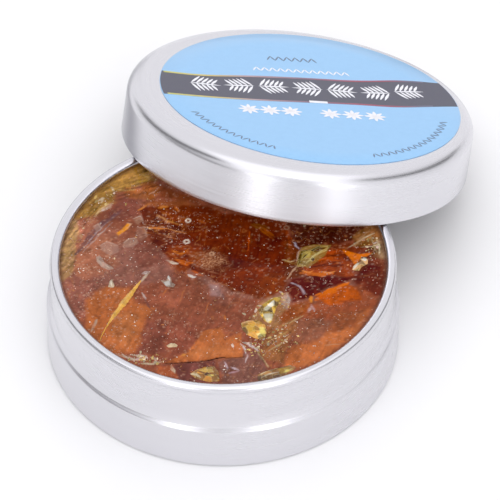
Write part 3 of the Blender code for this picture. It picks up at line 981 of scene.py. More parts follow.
def splinter_light(x, y, marks, ground, clear, seed):
    """Colours of a splinter: a mottled ground, its own marks, and painted glints along the walls of its
    inner facets.
    """
    tint = Tint(x, y, ground, seed + 200)
    tint.shade(0.3 * rough(x, y, 1.1, seed + 70) + 0.22 * rough(x, y, 0.4, seed + 71))
    wall, own = cells(x + 0.2 * rough(x, y, 0.8, seed + 62), y, 0.9, seed + 63)
    tint.shade(1.1 * (own - 0.5) * clear)
    for kind, colour, width, path in marks:
        if kind == "area":
            tint.area(colour, path, width, 0.2)
        else:
            tint.streak(colour, path, width, 0.95, 0.1)
    tint.shade(0.7 * (own - 0.5) * clear)
    # Painted glints: pale lines along the walls of the inner facets, strongest on the clear yellow pieces.
    tint.lay(0.55 * clear * ease(1 - wall / 0.07), (238, 222, 160))
    return np.maximum((tint.light - 0.6 * HAZE) * 0.86 / LIGHT, 0.002)


def add_splinter(name, outline, rise, marks, ground, slot, replaces, seed):
    """One broken piece, sunk a little in the rosin."""
    cx = sum(p[0] for p in outline) / len(outline)
    cy = sum(p[1] for p in outline) / len(outline)
    places = [(cx, cy)]
    spread = [(0.0, 0.0)]
    for ring in range(1, SPLINTER_RINGS + 1):
        share = ring / SPLINTER_RINGS
        for k in range(SPLINTER_SIDES):
            angle = 2 * math.pi * k / SPLINTER_SIDES
            reach = reach_of(outline, (cx, cy), angle) * share
            places.append((cx + reach * math.cos(angle), cy + reach * math.sin(angle)))
            spread.append((share * math.cos(angle), share * math.sin(angle)))
    x, y = np.array(places).T
    u, v = np.array(spread).T
    top = splinter_top(u, v, random.Random(seed))
    wall, own = cells(x, y, 0.55, seed + 60)
    chips = 0.16 * (own - 0.5) * ease(wall / 0.10) * np.clip(3 * top, 0, 1)
    top = np.clip(top, 0.02, None) + chips
    wall, own = cells(x, y, 1.3, seed + 61)
    top = top + 0.30 * (own - 0.5) * ease(wall / 0.14) * np.clip(2 * top, 0, 1)
    base = height_at(cx, cy) - 0.06
    z = base + 0.05 + rise * np.clip(top, 0.0, 1.1)
    z = np.where(np.hypot(u, v) > 0.985, base, z)
    points = list(zip(x.tolist(), y.tolist(), z.tolist()))
    faces = [(0, 1 + k, 1 + (k + 1) % SPLINTER_SIDES) for k in range(SPLINTER_SIDES)]
    for low in range(1, 1 + (SPLINTER_RINGS - 1) * SPLINTER_SIDES, SPLINTER_SIDES):
        high = low + SPLINTER_SIDES
        for k in range(SPLINTER_SIDES):
            n = (k + 1) % SPLINTER_SIDES
            faces.append((low + k, high + k, high + n, low + n))
    last = 1 + (SPLINTER_RINGS - 1) * SPLINTER_SIDES
    faces.append(tuple(reversed(range(last, last + SPLINTER_SIDES))))
    look, clear = (YELLOW_LOOK, 1.0) if slot == "rosin_yellow" else (PALE_LOOK, 0.3)
    piece = add_mesh(name, points, faces, look, smooth=False)
    face_out(piece)
    give_tint(piece, splinter_light(x, y, marks, ground, clear, seed))
    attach(piece, "tin")
    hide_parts(replaces)


YELLOW_LOOK = amber("yellow_rosin", 0.14, 0.03)
PALE_LOOK = amber("pale_rosin", 0.10, 0.12)

SPLINTERS = [
    # name, replaced node, slot, rise, seed, ground colour, outline, marks
    # each mark: an area with its softness or a line with its width
    # On the shards the white and near-white marks are painted highlights, and the dark lines painted
    # refraction.
    (
        "shard_middle", "yellow_shard_middle", "rosin_yellow", 0.60, 3, (206, 164, 62),
        [(8.5, -6.3), (8.2, -7.6), (7.7, -8.6), (7.4, -10.3), (6.9, -11.7), (6.1, -11.3),
            (5.4, -10), (5.0, -9), (5.6, -8), (6.4, -7.2), (7.4, -6.4)],
        [
            ("area", (140, 104, 40), 0.3, [(5.0, -9), (5.6, -8), (6.0, -8.6), (5.6, -10)]),
            # Painted highlights: these two near-white areas and the white line; the dark lines are painted
            # refraction.
            ("area", (240, 232, 200), 0.25, [(5.9, -9.4), (6.6, -8.2), (7.5, -7.2), (7.6, -8.2),
                (6.9, -9), (6.4, -9.6)]),
            ("area", (232, 222, 190), 0.25, [(5.8, -10), (7.2, -9.8), (7.2, -11), (6.5, -11.5)]),
            ("line", (255, 252, 240), 0.4, [(6.1, -9.1), (6.7, -8.3), (7.3, -7.5)]),
            ("line", (92, 72, 34), 0.4, [(6.0, -9.7), (6.6, -9.4), (7.1, -9.5)]),
            ("area", (216, 172, 60), 0.2, [(7.7, -6.6), (8.3, -6.5), (8.1, -7.4), (7.7, -7.4)]),
            ("line", (120, 86, 40), 0.2, [(7.5, -7.4), (7.6, -8.4)]),
        ],
    ),
    (
        "shard_front", "yellow_shard_front", "rosin_yellow", 0.50, 5, (184, 134, 60),
        [(2.5, -11.6), (3.6, -11), (5.2, -11), (6.2, -12), (6.4, -13.4), (6.0, -14.8), (4.8, -14.7),
            (3.6, -14), (2.8, -13)],
        [
            ("area", (236, 214, 110), 0.25, [(5.3, -12.6), (6.1, -12.6), (6.1, -14.4), (5.4, -13.8)]),
            # A painted highlight: this pale yellow line; the dark line below it is painted refraction.
            ("line", (255, 250, 170), 0.5, [(4.9, -13.9), (5.6, -14.2)]),
            ("line", (150, 108, 40), 0.4, [(3.2, -12), (4.4, -12.6), (4.8, -13.6)]),
            ("line", (222, 170, 120), 0.25, [(2.7, -11.8), (3.6, -11.2), (4.8, -11.2)]),
            ("area", (208, 160, 60), 0.3, [(3.2, -12.2), (4.6, -11.8), (4.8, -13.4), (3.6, -13.4)]),
        ],
    ),
    (
        "shard_back", "yellow_shard_back", "rosin_yellow", 0.46, 8, (150, 118, 56),
        [(10.7, -0.3), (10.9, 1.5), (11.4, 3.2), (12.8, 3.4), (14, 4.2), (15.9, 4.2), (15.2, 3.1),
            (13.9, 2.3), (13.2, 1.0), (12, -0.1)],
        [
            ("area", (196, 172, 92), 0.25, [(11.3, 1), (11.7, 2.8), (12.9, 2.9), (12.7, 1.6)]),
            ("line", (214, 190, 110), 0.25, [(11.6, 3), (13, 3.2), (14.2, 4.1), (15.4, 4)]),
            ("line", (196, 176, 110), 0.22, [(12.2, 0.6), (13.4, 2), (14.8, 3.2)]),
            ("area", (112, 76, 40), 0.25, [(13.2, 2.8), (14.4, 3.8), (15.2, 3.7), (14, 2.8)]),
            ("line", (96, 66, 30), 0.2, [(11.5, 1.2), (12.4, 2.2)]),
        ],
    ),
    (
        "shard_right", "clear_shard_right", "rosin_yellow", 0.55, 2, (206, 158, 104),
        [(18.8, -0.8), (19, 0), (19.8, 0.9), (20.2, 1.8), (20.9, 1.9), (21.4, 1.1), (21.2, 0.4),
            (20.3, -0.2), (19.8, -1.1)],
        [
            # Painted highlights: this near-white area and line; the dark line is painted refraction.
            ("area", (246, 236, 220), 0.15, [(20.2, 0.9), (20.5, 1.6), (21, 1.4), (20.8, 0.8)]),
            ("line", (236, 224, 204), 0.4, [(19.1, -0.6), (19.6, 0.2), (20, 0.5)]),
            ("line", (150, 92, 50), 0.25, [(19.8, 0.3), (20.2, 0.9)]),
            ("area", (170, 130, 70), 0.2, [(19, -0.9), (19.8, -1.1), (19.9, -0.4)]),
        ],
    ),
    (
        "shard_rim_left", "yellow_shard_rim_left", "rosin_yellow", 0.50, 6, (170, 114, 44),
        [(-4.8, -21.6), (-4, -20.8), (-2.6, -20.2), (-1.2, -20), (-0.5, -21.2), (-0.4, -23),
            (-2, -23.2), (-3.8, -22.6)],
        [
            ("area", (196, 158, 80), 0.3, [(-3.6, -20.8), (-1.6, -20.4), (-1.4, -21.4), (-3, -21.6)]),
            ("line", (232, 206, 110), 0.35, [(-2.2, -22.1), (-1.2, -22.3)]),
            ("line", (224, 208, 170), 0.3, [(-4.6, -21.6), (-3.8, -21.9), (-3.2, -22.4)]),
            ("area", (150, 104, 40), 0.3, [(-1, -20.8), (-0.6, -22.8), (-1.4, -22.9)]),
            ("line", (120, 78, 40), 0.25, [(-3.9, -21.2), (-2.4, -21.8), (-1.2, -21.8)]),
        ],
    ),
    (
        "shard_rim_right", "yellow_shard_rim_right", "rosin_yellow", 0.45, 9, (160, 112, 62),
        [(4.9, -22.6), (5, -21.6), (6.4, -20.9), (8, -20.3), (9.8, -19.7), (10.7, -20.2), (10, -21),
            (8.6, -21.9), (6.6, -22.8), (5.4, -23.2)],
        [
            ("area", (180, 138, 50), 0.25, [(8, -20.8), (9.8, -20.2), (9.4, -21.1), (8.4, -21.7)]),
            ("line", (226, 206, 160), 0.25, [(5.4, -21.6), (6.4, -21), (7.2, -20.8)]),
            ("line", (236, 214, 110), 0.3, [(8.8, -21.3), (9.6, -20.9)]),
            ("line", (206, 186, 156), 0.2, [(5.6, -22.4), (6.6, -21.9), (8, -21.4)]),
        ],
    ),
    (
        "flake_front", "cream_flake_front", "rosin_pale", 0.30, 4, (214, 186, 146),
        [(-8.2, -16.1), (-7.6, -15.6), (-6.9, -15.6), (-6.5, -16), (-6.6, -16.35), (-7.9, -16.45)],
        [("line", (236, 214, 176), 0.2, [(-7.9, -15.9), (-6.9, -15.8)])],
    ),
    (
        "flake_middle", "grey_flake_middle", "rosin_pale", 0.28, 7, (172, 142, 124),
        [(-9.2, -3.1), (-8.4, -3.3), (-8.0, -2.0), (-7.6, -2.6), (-7.5, -3.6), (-6.9, -4),
            (-7.2, -4.6), (-8.2, -4.5), (-8.7, -3.9)],
        [
            ("line", (232, 226, 220), 0.3, [(-8.0, -2.3), (-7.8, -3.4)]),
            ("area", (214, 206, 198), 0.2, [(-8.6, -3.5), (-7.8, -3.4), (-7.7, -4.2), (-8.3, -4.3)]),
        ],
    ),
    (
        "flake_left", "cream_flake_left", "rosin_pale", 0.34, 1, (216, 190, 160),
        [(-16.8, -4.6), (-16.6, -3.4), (-16.2, -2.9), (-16, -3.6), (-15.8, -4.3), (-16, -4.7)],
        [("line", (240, 226, 200), 0.3, [(-16.4, -3.4), (-16.3, -4.4)])],
    ),
    (
        "flake_far_left", "grey_flake_left", "rosin_pale", 0.28, 10, (184, 146, 128),
        [(-18.7, 1.6), (-18, 1.7), (-17.6, 0.9), (-17.2, 0), (-16.2, -0.5), (-15.9, -1),
            (-16.8, -1.2), (-17.8, -0.6), (-18.5, 0.4)],
        [
            ("line", (206, 186, 166), 0.2, [(-17.2, -0.2), (-16.6, -0.8)]),
            ("line", (190, 166, 150), 0.2, [(-18.4, 0.8), (-17.8, -0.2)]),
        ],
    ),
]

SLIVER = [
    # x, y, half width
    (-12.0, -3.3, 0.06), (-12.7, -4.5, 0.28), (-13.5, -6.0, 0.38), (-14.3, -7.4, 0.50),
    (-15.1, -8.9, 0.44), (-15.9, -10.3, 0.30), (-16.5, -11.6, 0.15), (-17.1, -13.0, 0.11),
    (-17.6, -14.4, 0.09), (-17.8, -15.4, 0.05),
]


SLIVER_STEPS = 90

# Places across the sliver, in half widths, and the rise of the ridged strip at each.
SLIVER_SIDES = (-1.0, -0.7, -0.2, 0.15, 0.6, 1.0)
SLIVER_RISES = (0.0, 0.14, 0.30, 0.34, 0.16, 0.0)


def add_sliver():
    """The long curved splinter, a thin ridged strip."""
    along = np.linspace(0, len(SLIVER) - 1, SLIVER_STEPS + 1)
    xs, ys, half = (np.interp(along, range(len(SLIVER)), column) for column in zip(*SLIVER))
    half = half * (1 + 0.25 * rough(xs * 3, ys, 1.0, 88))
    dx = np.gradient(xs)
    dy = np.gradient(ys)
    size = np.hypot(dx, dy)
    points = []
    for k in range(SLIVER_STEPS + 1):
        base = height_at(xs[k], ys[k]) - 0.03
        for side, rise in zip(SLIVER_SIDES, SLIVER_RISES):
            lift = rise * (0.55 + half[k]) + 0.03 * math.sin(k * 1.3 + side)
            out = half[k] * side / size[k]
            points.append((xs[k] - dy[k] * out, ys[k] + dx[k] * out, base + lift))
    count = len(SLIVER_SIDES)
    last = SLIVER_STEPS * count
    faces = [tuple(range(count)), tuple(reversed(range(last, last + count)))]
    for start in range(0, last, count):
        for j in range(count):
            n = (j + 1) % count
            faces.append((start + j, start + n, start + count + n, start + count + j))
    piece = add_mesh("sliver_strip", points, faces, YELLOW_LOOK, smooth=False)
    face_out(piece)
    x, y, _ = np.array(points).T
    tint = Tint(x, y, (222, 170, 76), 300)
    tint.shade(0.35 * rough(x, y, 0.6, 91) + 0.2 * rough(x, y, 2.0, 92))
    give_tint(piece, tint.light)
    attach(piece, "tin")
    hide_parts("yellow_sliver")


# Sides of a crumb, and the radius of the surface that crumbs may lie on.
CRUMB_SIDES = 5
CRUMB_FIELD = 23.4


def add_crumbs(name, count, low, high, tones, look, seed, where):
    """Many small broken bits and grains on the surface, as one piece."""
    rng = random.Random(seed)
    places = []
    while len(places) < count:
        x = rng.uniform(-CRUMB_FIELD, CRUMB_FIELD)
        y = rng.uniform(-CRUMB_FIELD, CRUMB_FIELD)
        if math.hypot(x, y) < CRUMB_FIELD and rng.random() < where(x, y):
            places.append((x, y))
    points = []
    faces = []
    light = []
    for (x, y), z in zip(places, rosin_height(*np.array(places).T)):
        size = low + (high - low) * rng.random() ** 3
        stretch = rng.uniform(1.0, 2.2)
        turn = rng.uniform(0, math.pi)
        c = math.cos(turn)
        s = math.sin(turn)
        start = len(points)
        for k in range(CRUMB_SIDES):
            angle = 2 * math.pi * (k + rng.uniform(-0.3, 0.3)) / CRUMB_SIDES
            a = size * stretch * math.cos(angle) / 2
            b = size * math.sin(angle) / 2
            points.append((x + a * c - b * s, y + a * s + b * c, z + rng.uniform(-0.01, 0.02)))
        tip_x = x + rng.uniform(-0.2, 0.2) * size
        tip_y = y + rng.uniform(-0.2, 0.2) * size
        points.append((tip_x, tip_y, z + size * rng.uniform(0.25, 0.5)))
        points.append((x, y, z - 0.05))
        for k in range(CRUMB_SIDES):
            n = (k + 1) % CRUMB_SIDES
            faces.append((start + k, start + n, start + CRUMB_SIDES))
            faces.append((start + n, start + k, start + CRUMB_SIDES + 1))
        tone = linear(rng.choice(tones)) * rng.uniform(0.35, 1.1)
        light += [tone] * (CRUMB_SIDES + 2)
    piece = add_mesh(name, points, faces, look, smooth=False)
    give_tint(piece, np.clip(np.array(light), 0.002, 1), CRUMB_GLOSS)
    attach(piece, "tin")


# Where the dust lies, and the crushed bits under RUBBLE: height, middle x and y, half widths along x and y.
DUST = [
    (0.75, -8.2, 8, 3.2, 3.4),
    (0.42, -18.5, -1, 4.5, 8),
    (0.35, 15, -9, 5, 3),
    (0.30, 14, 6, 5, 2),
    (0.35, 8, -14, 2.5, 4),
    (0.30, -10, -14, 2.2, 3),
]

# Dust that lies everywhere, and the cleaner place at the middle right.
THIN_DUST = 0.16
CLEAN_RADIUS = 6
CLEAN_SHARE = 0.45

RUBBLE = [
    (1.0, 4.6, -16, 1.6, 1.3),
    (1.0, -11.8, -18.8, 2.6, 0.8),
    (0.5, 5.0, -10.4, 1.0, 2.0),
    (0.4, 8.6, -7.6, 1.0, 2.0),
    (0.5, 8.2, -14.6, 2.2, 2.0),
    (0.5, 21.8, 4.4, 1.2, 2.0),
    (0.2, -17, 13, 2.4, 1.6),
]


def heaped(x, y, humps, share=0.0):
    """The share that lies everywhere, and the humps on it."""
    for height, cx, cy, wide, deep in humps:
        share += height * math.exp(-(((x - cx) / wide) ** 2) - ((y - cy) / deep) ** 2)
    return share


def dust_share(x, y):
    """How thick the dust lies here, from 0 to 1; the middle of the cake is cleaner."""
    share = heaped(x, y, DUST, THIN_DUST)
    return share * (CLEAN_SHARE if math.hypot(x - 3, y - 3) < CLEAN_RADIUS else 1.0)


def rubble_share(x, y):
    """Where crushed bits lie together, from 0 to 1."""
    return heaped(x, y, RUBBLE)


# ---------- the lid


def lid_frame():
    """From the middle of the lid's mouth, lid upright, to its leaning place."""
    lean = Vector((math.sin(LID_TURN), math.cos(LID_TURN), 0)) * LID_REACH
    lean.z = LID_RADIUS * math.sin(LID_TILT) + TABLE_GAP
    tilt = Matrix.Rotation(-LID_TURN, 4, "Z") @ Matrix.Rotation(-LID_TILT, 4, "X")
    return Matrix.Translation(lean * MM) @ tilt


def on_lid(piece, offset=Vector((0, 0))):
    """Puts a piece made about the lid's mouth in its leaning place."""
    shift = Matrix.Translation(Vector((offset.x, offset.y, 0)) * MM)
    piece.data.transform(lid_frame() @ shift)
    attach(piece, "lid")
    return piece


def add_lid():
    """The lid's one skin: a rounded cup of thin sheet with a rolled hem."""
    flat = LID_RADIUS - LID_ROUND
    centre = (flat, LID_HEIGHT - LID_ROUND)
    outer = arc(centre, LID_ROUND, 90, 0, 26)
    hem = arc((LID_RADIUS - SHEET / 2, SHEET / 2), SHEET / 2, 0, -180, 8)
    inner = arc(centre, LID_ROUND - SHEET, 0, 90, 16)
    profile = [(0, LID_HEIGHT)] + line((0, LID_HEIGHT), outer[0], 6) + outer
    profile += line(outer[-1], hem[0], 12) + hem + line(hem[-1], inner[0], 8) + inner
    profile += line(inner[-1], (0, LID_HEIGHT - SHEET), 6) + [(0, LID_HEIGHT - SHEET)]
    piece = on_lid(turned("lid_cover", profile, satin_aluminium("lid_satin_aluminium", 11)))
    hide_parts("lid_shell")


# The band's upper and lower edge: places along the label, and how far across it the edge is.
BAND_UPPER = ((-23, -16, -8, 0, 8, 16, 23), (6.6, 5.7, 6.6, 6.95, 7.0, 8.4, 7.9))
BAND_LOWER = ((-23, -16, -8, 0, 8, 13, 18, 23), (-1.8, -2.3, -2.3, -1.9, -1.6, -1.8, -0.8, 0.1))
BORDER_FROM = -22.2
BORDER_TO = 19.0


def band_edge(s, edge):
    """How far across the label an edge of the band is, smoothed, at s along it."""
    return float(np.mean([np.interp(s + d, *edge) for d in (-2.4, -1.2, 0, 1.2, 2.4)]))


def turned_flat(s, t):
    """From along and across the printing to the label's own x and y."""
    c = math.cos(LABEL_TURN)
    n = math.sin(LABEL_TURN)
    return s * c - t * n, s * n + t * c


def sheet_points(name, shapes, level, material):
    """Flat printed shapes as one very thin solid, each shape a list of (x, y)."""
    points = []
    faces = []
    for shape in shapes:
        start = len(points)
        count = len(shape)
        points += [(x, y, level) for x, y in shape]
        points += [(x, y, level - INK * 1.6) for x, y in shape]
        faces.append(tuple(range(start, start + count)))
        faces.append(tuple(reversed(range(start + count, start + 2 * count))))
        for k in range(count):
            n = (k + 1) % count
            faces.append((start + k, start + count + k, start + count + n, start + n))
    piece = add_mesh(name, points, faces, material, smooth=False)
    face_out(piece)
    on_lid(piece, LABEL_OFFSET)
    return piece


def printed(name, colour, other):
    """Printed paper: a faint mottle in the ink under a thin satin varnish."""
    look = Look(name, Coat_Weight=0.25, Coat_Roughness=0.2, Specular_IOR_Level=0.4)
    place = look.place()
    mottle = look.noise(place, 900.0, 4.0, 0.6)
    fibre = look.noise(place, 6000.0, 2.0, 0.6)
    both = look.remap(look.blend(mottle, fibre, 0.6), 0.35, 0.65)
    look.set("Base Color", look.mix(both, rgba(*colour), rgba(*other)))
    look.set("Roughness", look.remap(mottle, 0.3, 0.7, 0.29, 0.41))
    look.set("Normal", look.bump(fibre, 0.08, 0.00002))
    return look.material


def border_ink():
    """The band's edge line: yellow at one end, fading through mauve to red."""
    look = Look("label_border_ink", Coat_Weight=0.25, Coat_Roughness=0.2)
    place = look.place()
    x, y, _ = look.split(place)
    along = look.plus(look.times(x, math.cos(LABEL_TURN)), look.times(y, math.sin(LABEL_TURN)))
    share = look.remap(along, -0.022, 0.022)
    ramp = look.node("ShaderNodeValToRGB", {0: share})
    stops = ramp.color_ramp.elements
    stops[0].color = rgba(196, 196, 96)
    stops[1].color = rgba(96, 92, 118)
    for position, colour in (
        (0.16, (204, 186, 104)),
        (0.30, (176, 146, 150)),
        (0.50, (128, 92, 116)),
        (0.68, (160, 60, 84)),
        (0.80, (146, 58, 84)),
        (0.88, (98, 92, 118)),
    ):
        stops.new(position).color = rgba(*colour)
    mottle = look.noise(place, 2500.0, 3.0, 0.6)
    shade = look.remap(mottle, 0.3, 0.7, 0.92, 1.06)
    look.set("Base Color", look.scaled(ramp.outputs[0], shade))
    look.set("Roughness", look.remap(mottle, 0.3, 0.7, 0.3, 0.4))
    return look.material


# A pointed leaf: shares of its length and of its half width.
LEAF = (
    (0, 0), (0.25, 0.8), (0.55, 1.0), (0.85, 0.55), (1, 0), (0.85, -0.55), (0.55, -1.0), (0.25, -0.8),
)


def leaf(s, t, heading, length, width):
    """A pointed leaf shape that starts at (s, t)."""
    c = math.cos(heading) * length
    n = math.sin(heading) * length
    wide_c = math.cos(heading) * width / 2
    wide_n = math.sin(heading) * width / 2
    return [turned_flat(s + a * c - b * wide_n, t + a * n + b * wide_c) for a, b in LEAF]


def sprig(s, t, heading):
    """A small pine sprig: a stem with needles in pairs, shorter towards its tip."""
    shapes = [leaf(s, t, heading, SPRIG_SIZE, NEEDLE_WIDTH)]
    for k in range(NEEDLES):
        along = SPRIG_SIZE * (0.04 + 0.80 * k / NEEDLES)
        bs = s + along * math.cos(heading)
        bt = t + along * math.sin(heading)
        length = SPRIG_SIZE * (0.64 - 0.22 * k / NEEDLES)
        for side in (-1, 1):
            turn = heading + side * math.radians(62)
            shapes.append(leaf(bs, bt, turn, length, NEEDLE_WIDTH))
    return shapes


def zigzag(middles, height):
    """A row of short strokes that lean one way and the other, along a line of middles."""
    shapes = []
    for k, (s, t) in enumerate(middles):
        before = middles[max(k - 1, 0)]
        after = middles[min(k + 1, len(middles) - 1)]
        across = math.atan2(after[1] - before[1], after[0] - before[0]) + math.pi / 2
        heading = across + (0.42 if k % 2 else -0.42)
        bs = s - 0.5 * height * math.cos(heading)
        bt = t - 0.5 * height * math.sin(heading)
        shapes.append(leaf(bs, bt, heading, height, 0.26))
    return shapes


def round_end(first, last, inside):
    """Points on a circle from the heading of one place to the heading of another."""
    start = math.atan2(first[1], first[0])
    end = math.atan2(last[1], last[0])
    if first[0] < 0:
        start = start % (2 * math.pi)
        end = end % (2 * math.pi)
    return [(inside * math.cos(a), inside * math.sin(a)) for a in np.linspace(start, end, 26)]


def add_band():
    """The dark band across the label and the thin border along each of its edges."""
    inside = LABEL_RADIUS - 0.08
    rows = []
    for edge in (BAND_UPPER, BAND_LOWER):
        row = [(k * 0.25, band_edge(k * 0.25, edge)) for k in range(-90, 91)]
        rows.append([place for place in row if math.hypot(*place) < inside])
    upper, lower = rows
    outline = lower + round_end(lower[-1], upper[-1], inside)
    outline += upper[::-1] + round_end(upper[0], lower[0], inside)
    slate = printed("label_slate_ink", (58, 58, 76), (68, 68, 88))
    band = [turned_flat(s, t) for s, t in outline]
    sheet_points("label_band", [band], LABEL_TOP + INK, slate)
    borders = []
    for row, step in ((upper, -0.50), (lower, 0.44)):
        kept = [p for p in row if BORDER_FROM < p[0] < BORDER_TO]
        for (s, t), (next_s, next_t) in zip(kept, kept[1:]):
            corners = ((s, t), (next_s, next_t), (next_s, next_t + step), (s, t + step))
            borders.append([turned_flat(*corner) for corner in corners])
    sheet_points("label_band_borders", borders, LABEL_TOP + 2 * INK, border_ink())


# The white print: a row of sprigs, stars below it, and a short bar at the band's lower edge.
SPRIG_COUNT = 7
SPRIG_STEP = 5.25
SPRIG_SIZE = 4.7
NEEDLES = 5
NEEDLE_WIDTH = 0.44
STARS = (-10.2, -7.0, -3.8, 2.2, 5.6, 9.0)
BAR = ((-0.4, -1.2), (2.4, -1.2), (2.4, -1.9), (-0.4, -1.9))
EDGE_ROW_RADIUS = 20.3


def add_white_print():
    """Seven sprigs on the band, six stars and a short bar below, a zigzag row above."""
    white = printed("label_white_ink", (238, 238, 244), (246, 246, 250))
    rng = random.Random(21)
    shapes = []
    for k in range(SPRIG_COUNT):
        s = -18.0 + SPRIG_STEP * k
        t = 2.75 + 0.10 * k + (0.6 if k > 5 else 0)
        lean = math.radians(rng.uniform(-10, 10))
        if k % 2:
            shapes += sprig(s + 4.6, t, math.pi + lean)
        else:
            shapes += sprig(s, t, lean)
    for s in STARS:
        shapes += [leaf(s, -5.5, a * math.pi / 4, 1.7, 0.6) for a in range(8)]
    shapes.append([turned_flat(*corner) for corner in BAR])
    shapes += zigzag([(-7.1 + 0.62 * k, 9.2) for k in range(24)], 1.5)
    sheet_points("label_white_sprigs", shapes, LABEL_TOP + 3 * INK, white)


def add_grey_print():
    """A zigzag row near the top of the label and two along its edge."""
    grey = printed("label_grey_ink", (92, 112, 142), (104, 122, 150))
    shapes = zigzag([(-4.3 + 0.64 * k, 13.4) for k in range(12)], 1.7)
    for first, last, count in ((-130, -87, 24), (-44, 10, 30)):
        angles = np.radians(np.linspace(first, last, count)) - LABEL_TURN
        reach = EDGE_ROW_RADIUS
        shapes += zigzag([(reach * math.cos(a), reach * math.sin(a)) for a in angles], 1.3)
    sheet_points("label_grey_sprigs", shapes, LABEL_TOP + 2 * INK, grey)


def add_label():
    """The round paper label, and its generic print in place of the words."""
    paper = printed("label_blue_paper", (144, 194, 236), (152, 200, 240))
    low = LID_HEIGHT + 0.004
    flat = LABEL_RADIUS - 0.06
    profile = [(0, LABEL_TOP)] + line((0, LABEL_TOP), (flat, LABEL_TOP), 6)
    profile += [(flat, LABEL_TOP), (LABEL_RADIUS, LABEL_TOP - 0.04)]
    profile += [(LABEL_RADIUS, low), (0, low)]
    piece = on_lid(turned("label_disc", profile, paper), LABEL_OFFSET)
    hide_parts("lid_label")
    add_band()
    add_white_print()
    add_grey_print()


# ---------- floor and light


SKY = 1.05

# In mirror-like reflections the floor behind the tin is darker, at both sides of it. In
# metres: how far behind it begins and is full, and where along x each side fades in and out.
BEHIND = (0.004, 0.030)
LEFT_SIDE = ((-0.016, -0.031), (-0.048, -0.036))
RIGHT_SIDE = ((0.026, 0.031), (0.044, 0.036))
RIGHT_SHARE = 0.6

# Half the floor's side, in millimetres again.
FLOOR_HALF = 1500.0


def add_floor():
    """A plain pale floor, with a painted dark reflection: behind the tin at both sides it is darker, but
    only in mirror-like reflections.
    """
    look = Look("pale_floor", Roughness=0.4, Specular_IOR_Level=0.5)
    place = look.place()
    faint = look.noise(place, 30.0, 3.0, 0.5)
    pale = look.mix(faint, (0.90, 0.90, 0.90, 1), (0.93, 0.93, 0.93, 1))
    x, y, _ = look.split(place)
    left = look.times(*(look.remap(x, *limits) for limits in LEFT_SIDE))
    right = look.times(*(look.remap(x, *limits) for limits in RIGHT_SIDE), RIGHT_SHARE)
    share = look.times(look.remap(y, *BEHIND), look.maths("MAXIMUM", left, right))
    share = look.times(share, look.node("ShaderNodeLightPath").outputs["Is Glossy Ray"])
    look.set("Base Color", look.mix(share, pale, (0.34, 0.34, 0.36, 1)))
    half = FLOOR_HALF
    points = [(-half, -half, 0), (half, -half, 0), (half, half, 0), (-half, half, 0)]
    floor = add_mesh("floor", points, [(0, 1, 2, 3)], look.material)


def add_light(name, place, target, size, power):
    """A rectangular light, in metres and watts, that the camera doesn't see."""
    data = bpy.data.lights.new(name, "AREA")
    data.shape = "RECTANGLE"
    data.size = size[0]
    data.size_y = size[1]
    data.energy = power
    lamp = bpy.data.objects.new(name, data)
    lamp.visible_camera = False
    lamp.location = place
    lamp.rotation_euler = (Vector(target) - Vector(place)).to_track_quat("-Z", "Y").to_euler()
    bpy.context.scene.collection.objects.link(lamp)


def add_world():
    """A pale studio round the object; the camera itself sees it plain."""
    world = bpy.data.worlds.new("studio")
    world.use_nodes = True
    bpy.context.scene.world = world
    studio = Nodes(world.node_tree)
    x, y, z = studio.split(studio.node("ShaderNodeTexCoord").outputs["Generated"])
    aside = studio.maths("ABSOLUTE", x)
    # Two tall softboxes at the front, and one overhead.
    boxes = studio.times(studio.hump(aside, 0.41, 0.19, 4.0), studio.fade(y, 0.05, -0.25))
    top = studio.times(studio.fade(z, 0.70, 0.86), studio.fade(aside, 0.68, 0.58))
    top = studio.times(top, studio.fade(y, 0.34, -0.06))
    bright = studio.maths("MULTIPLY_ADD", studio.maths("MAXIMUM", boxes, top), 0.45, 1.0)
    # Dark edges at both sides, a faint gap between the softboxes, and a dark low left side.
    edge = studio.hump(studio.maths("MULTIPLY_ADD", y, 0.62, z), 0.40, 0.17)
    edge = studio.times(edge, studio.fade(aside, 0.60, 0.72))
    gap = studio.times(studio.hump(x, 0.0, 0.15), studio.fade(y, -0.55, -0.8))
    left = studio.times(studio.hump(x, -0.9, 0.35), studio.hump(z, 0.0, 0.30))
    left = studio.times(left, studio.fade(y, 0.35, -0.1))
    level = studio.times(
        bright, studio.less(edge, 0.92), studio.less(gap, 0.18), studio.less(left, 0.72)
    )
    seen = studio.node("ShaderNodeLightPath").outputs["Is Camera Ray"]
    level = studio.times(studio.maths("MAXIMUM", level, seen), SKY)
    back = studio.tree.nodes["Background"]
    back.inputs["Color"].default_value = (0.975, 0.97, 1.0, 1.0)
    studio.feed(back.inputs["Strength"], level)


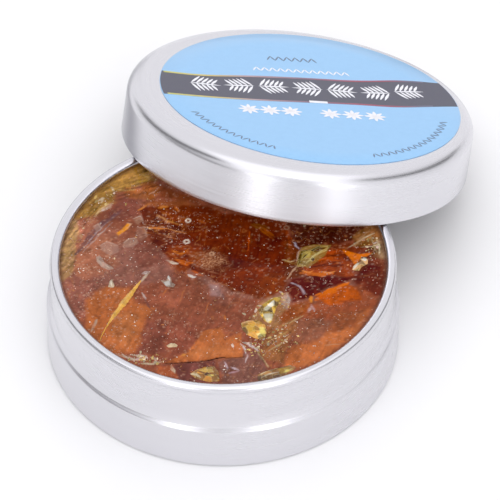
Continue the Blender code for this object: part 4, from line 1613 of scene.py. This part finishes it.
def add_lights():
    """Two low strips that streak the lid's side, and a key light above."""
    middle = (0.003, 0.012, 0.01)
    add_light("strip_left", (-0.255, -0.58, 0.06), middle, (0.15, 0.30), 0.14)
    add_light("strip_right", (0.285, -0.59, 0.04), middle, (0.16, 0.30), 0.24)
    add_light("key", (0.02, -0.55, 0.85), middle, (0.50, 0.40), 0.9)


# ---------- camera

# In metres, but the lens in millimetres.
CAMERA_PLACE = (0.0, -0.60125, 0.65489)
CAMERA_AHEAD = Vector((0.004449, 0.686708, -0.726920))
CAMERA_UP = Vector((-0.004760, 0.726934, 0.686691))
CAMERA_LENS = 432.0


def add_camera():
    """The photo's view, with a long lens."""
    data = bpy.data.cameras.new("camera")
    data.lens = CAMERA_LENS
    data.sensor_width = 36.0
    data.clip_start = 0.01
    camera = bpy.data.objects.new("camera", data)
    right = CAMERA_AHEAD.cross(CAMERA_UP).normalized()
    up = right.cross(CAMERA_AHEAD).normalized()
    turn = Matrix((right, up, -CAMERA_AHEAD)).transposed()
    camera.matrix_world = Matrix.Translation(CAMERA_PLACE) @ turn.to_4x4()
    bpy.context.scene.collection.objects.link(camera)
    bpy.context.scene.camera = camera


# ---------- the scene

add_camera()
add_world()
add_lights()
add_floor()
add_tin()
add_rosin()
for name, node, slot, rise, seed, ground, outline, marks in SPLINTERS:
    add_splinter(name, outline, rise, marks, ground, slot, node, seed)
add_sliver()
RUBBLE_TONES = [(222, 190, 120), (238, 214, 176), (196, 160, 90), (214, 186, 170)]
PALE_TONES = [(236, 200, 178), (214, 160, 138), (248, 232, 216), (196, 132, 104)]
AMBER_TONES = [(196, 124, 72), (206, 156, 96), (160, 92, 52), (222, 190, 150)]
add_crumbs("rosin_dust", 2500, 0.05, 0.20, PALE_TONES, PALE_LOOK, 51, dust_share)
add_crumbs("rosin_crumbs", 60, 0.16, 0.50, AMBER_TONES, YELLOW_LOOK, 52, dust_share)
add_crumbs("rosin_rubble", 340, 0.12, 0.50, RUBBLE_TONES, YELLOW_LOOK, 53, rubble_share)
add_lid()
add_label()
bpy.context.scene.view_settings.view_transform = "Standard"

bpy.context.view_layer.update()
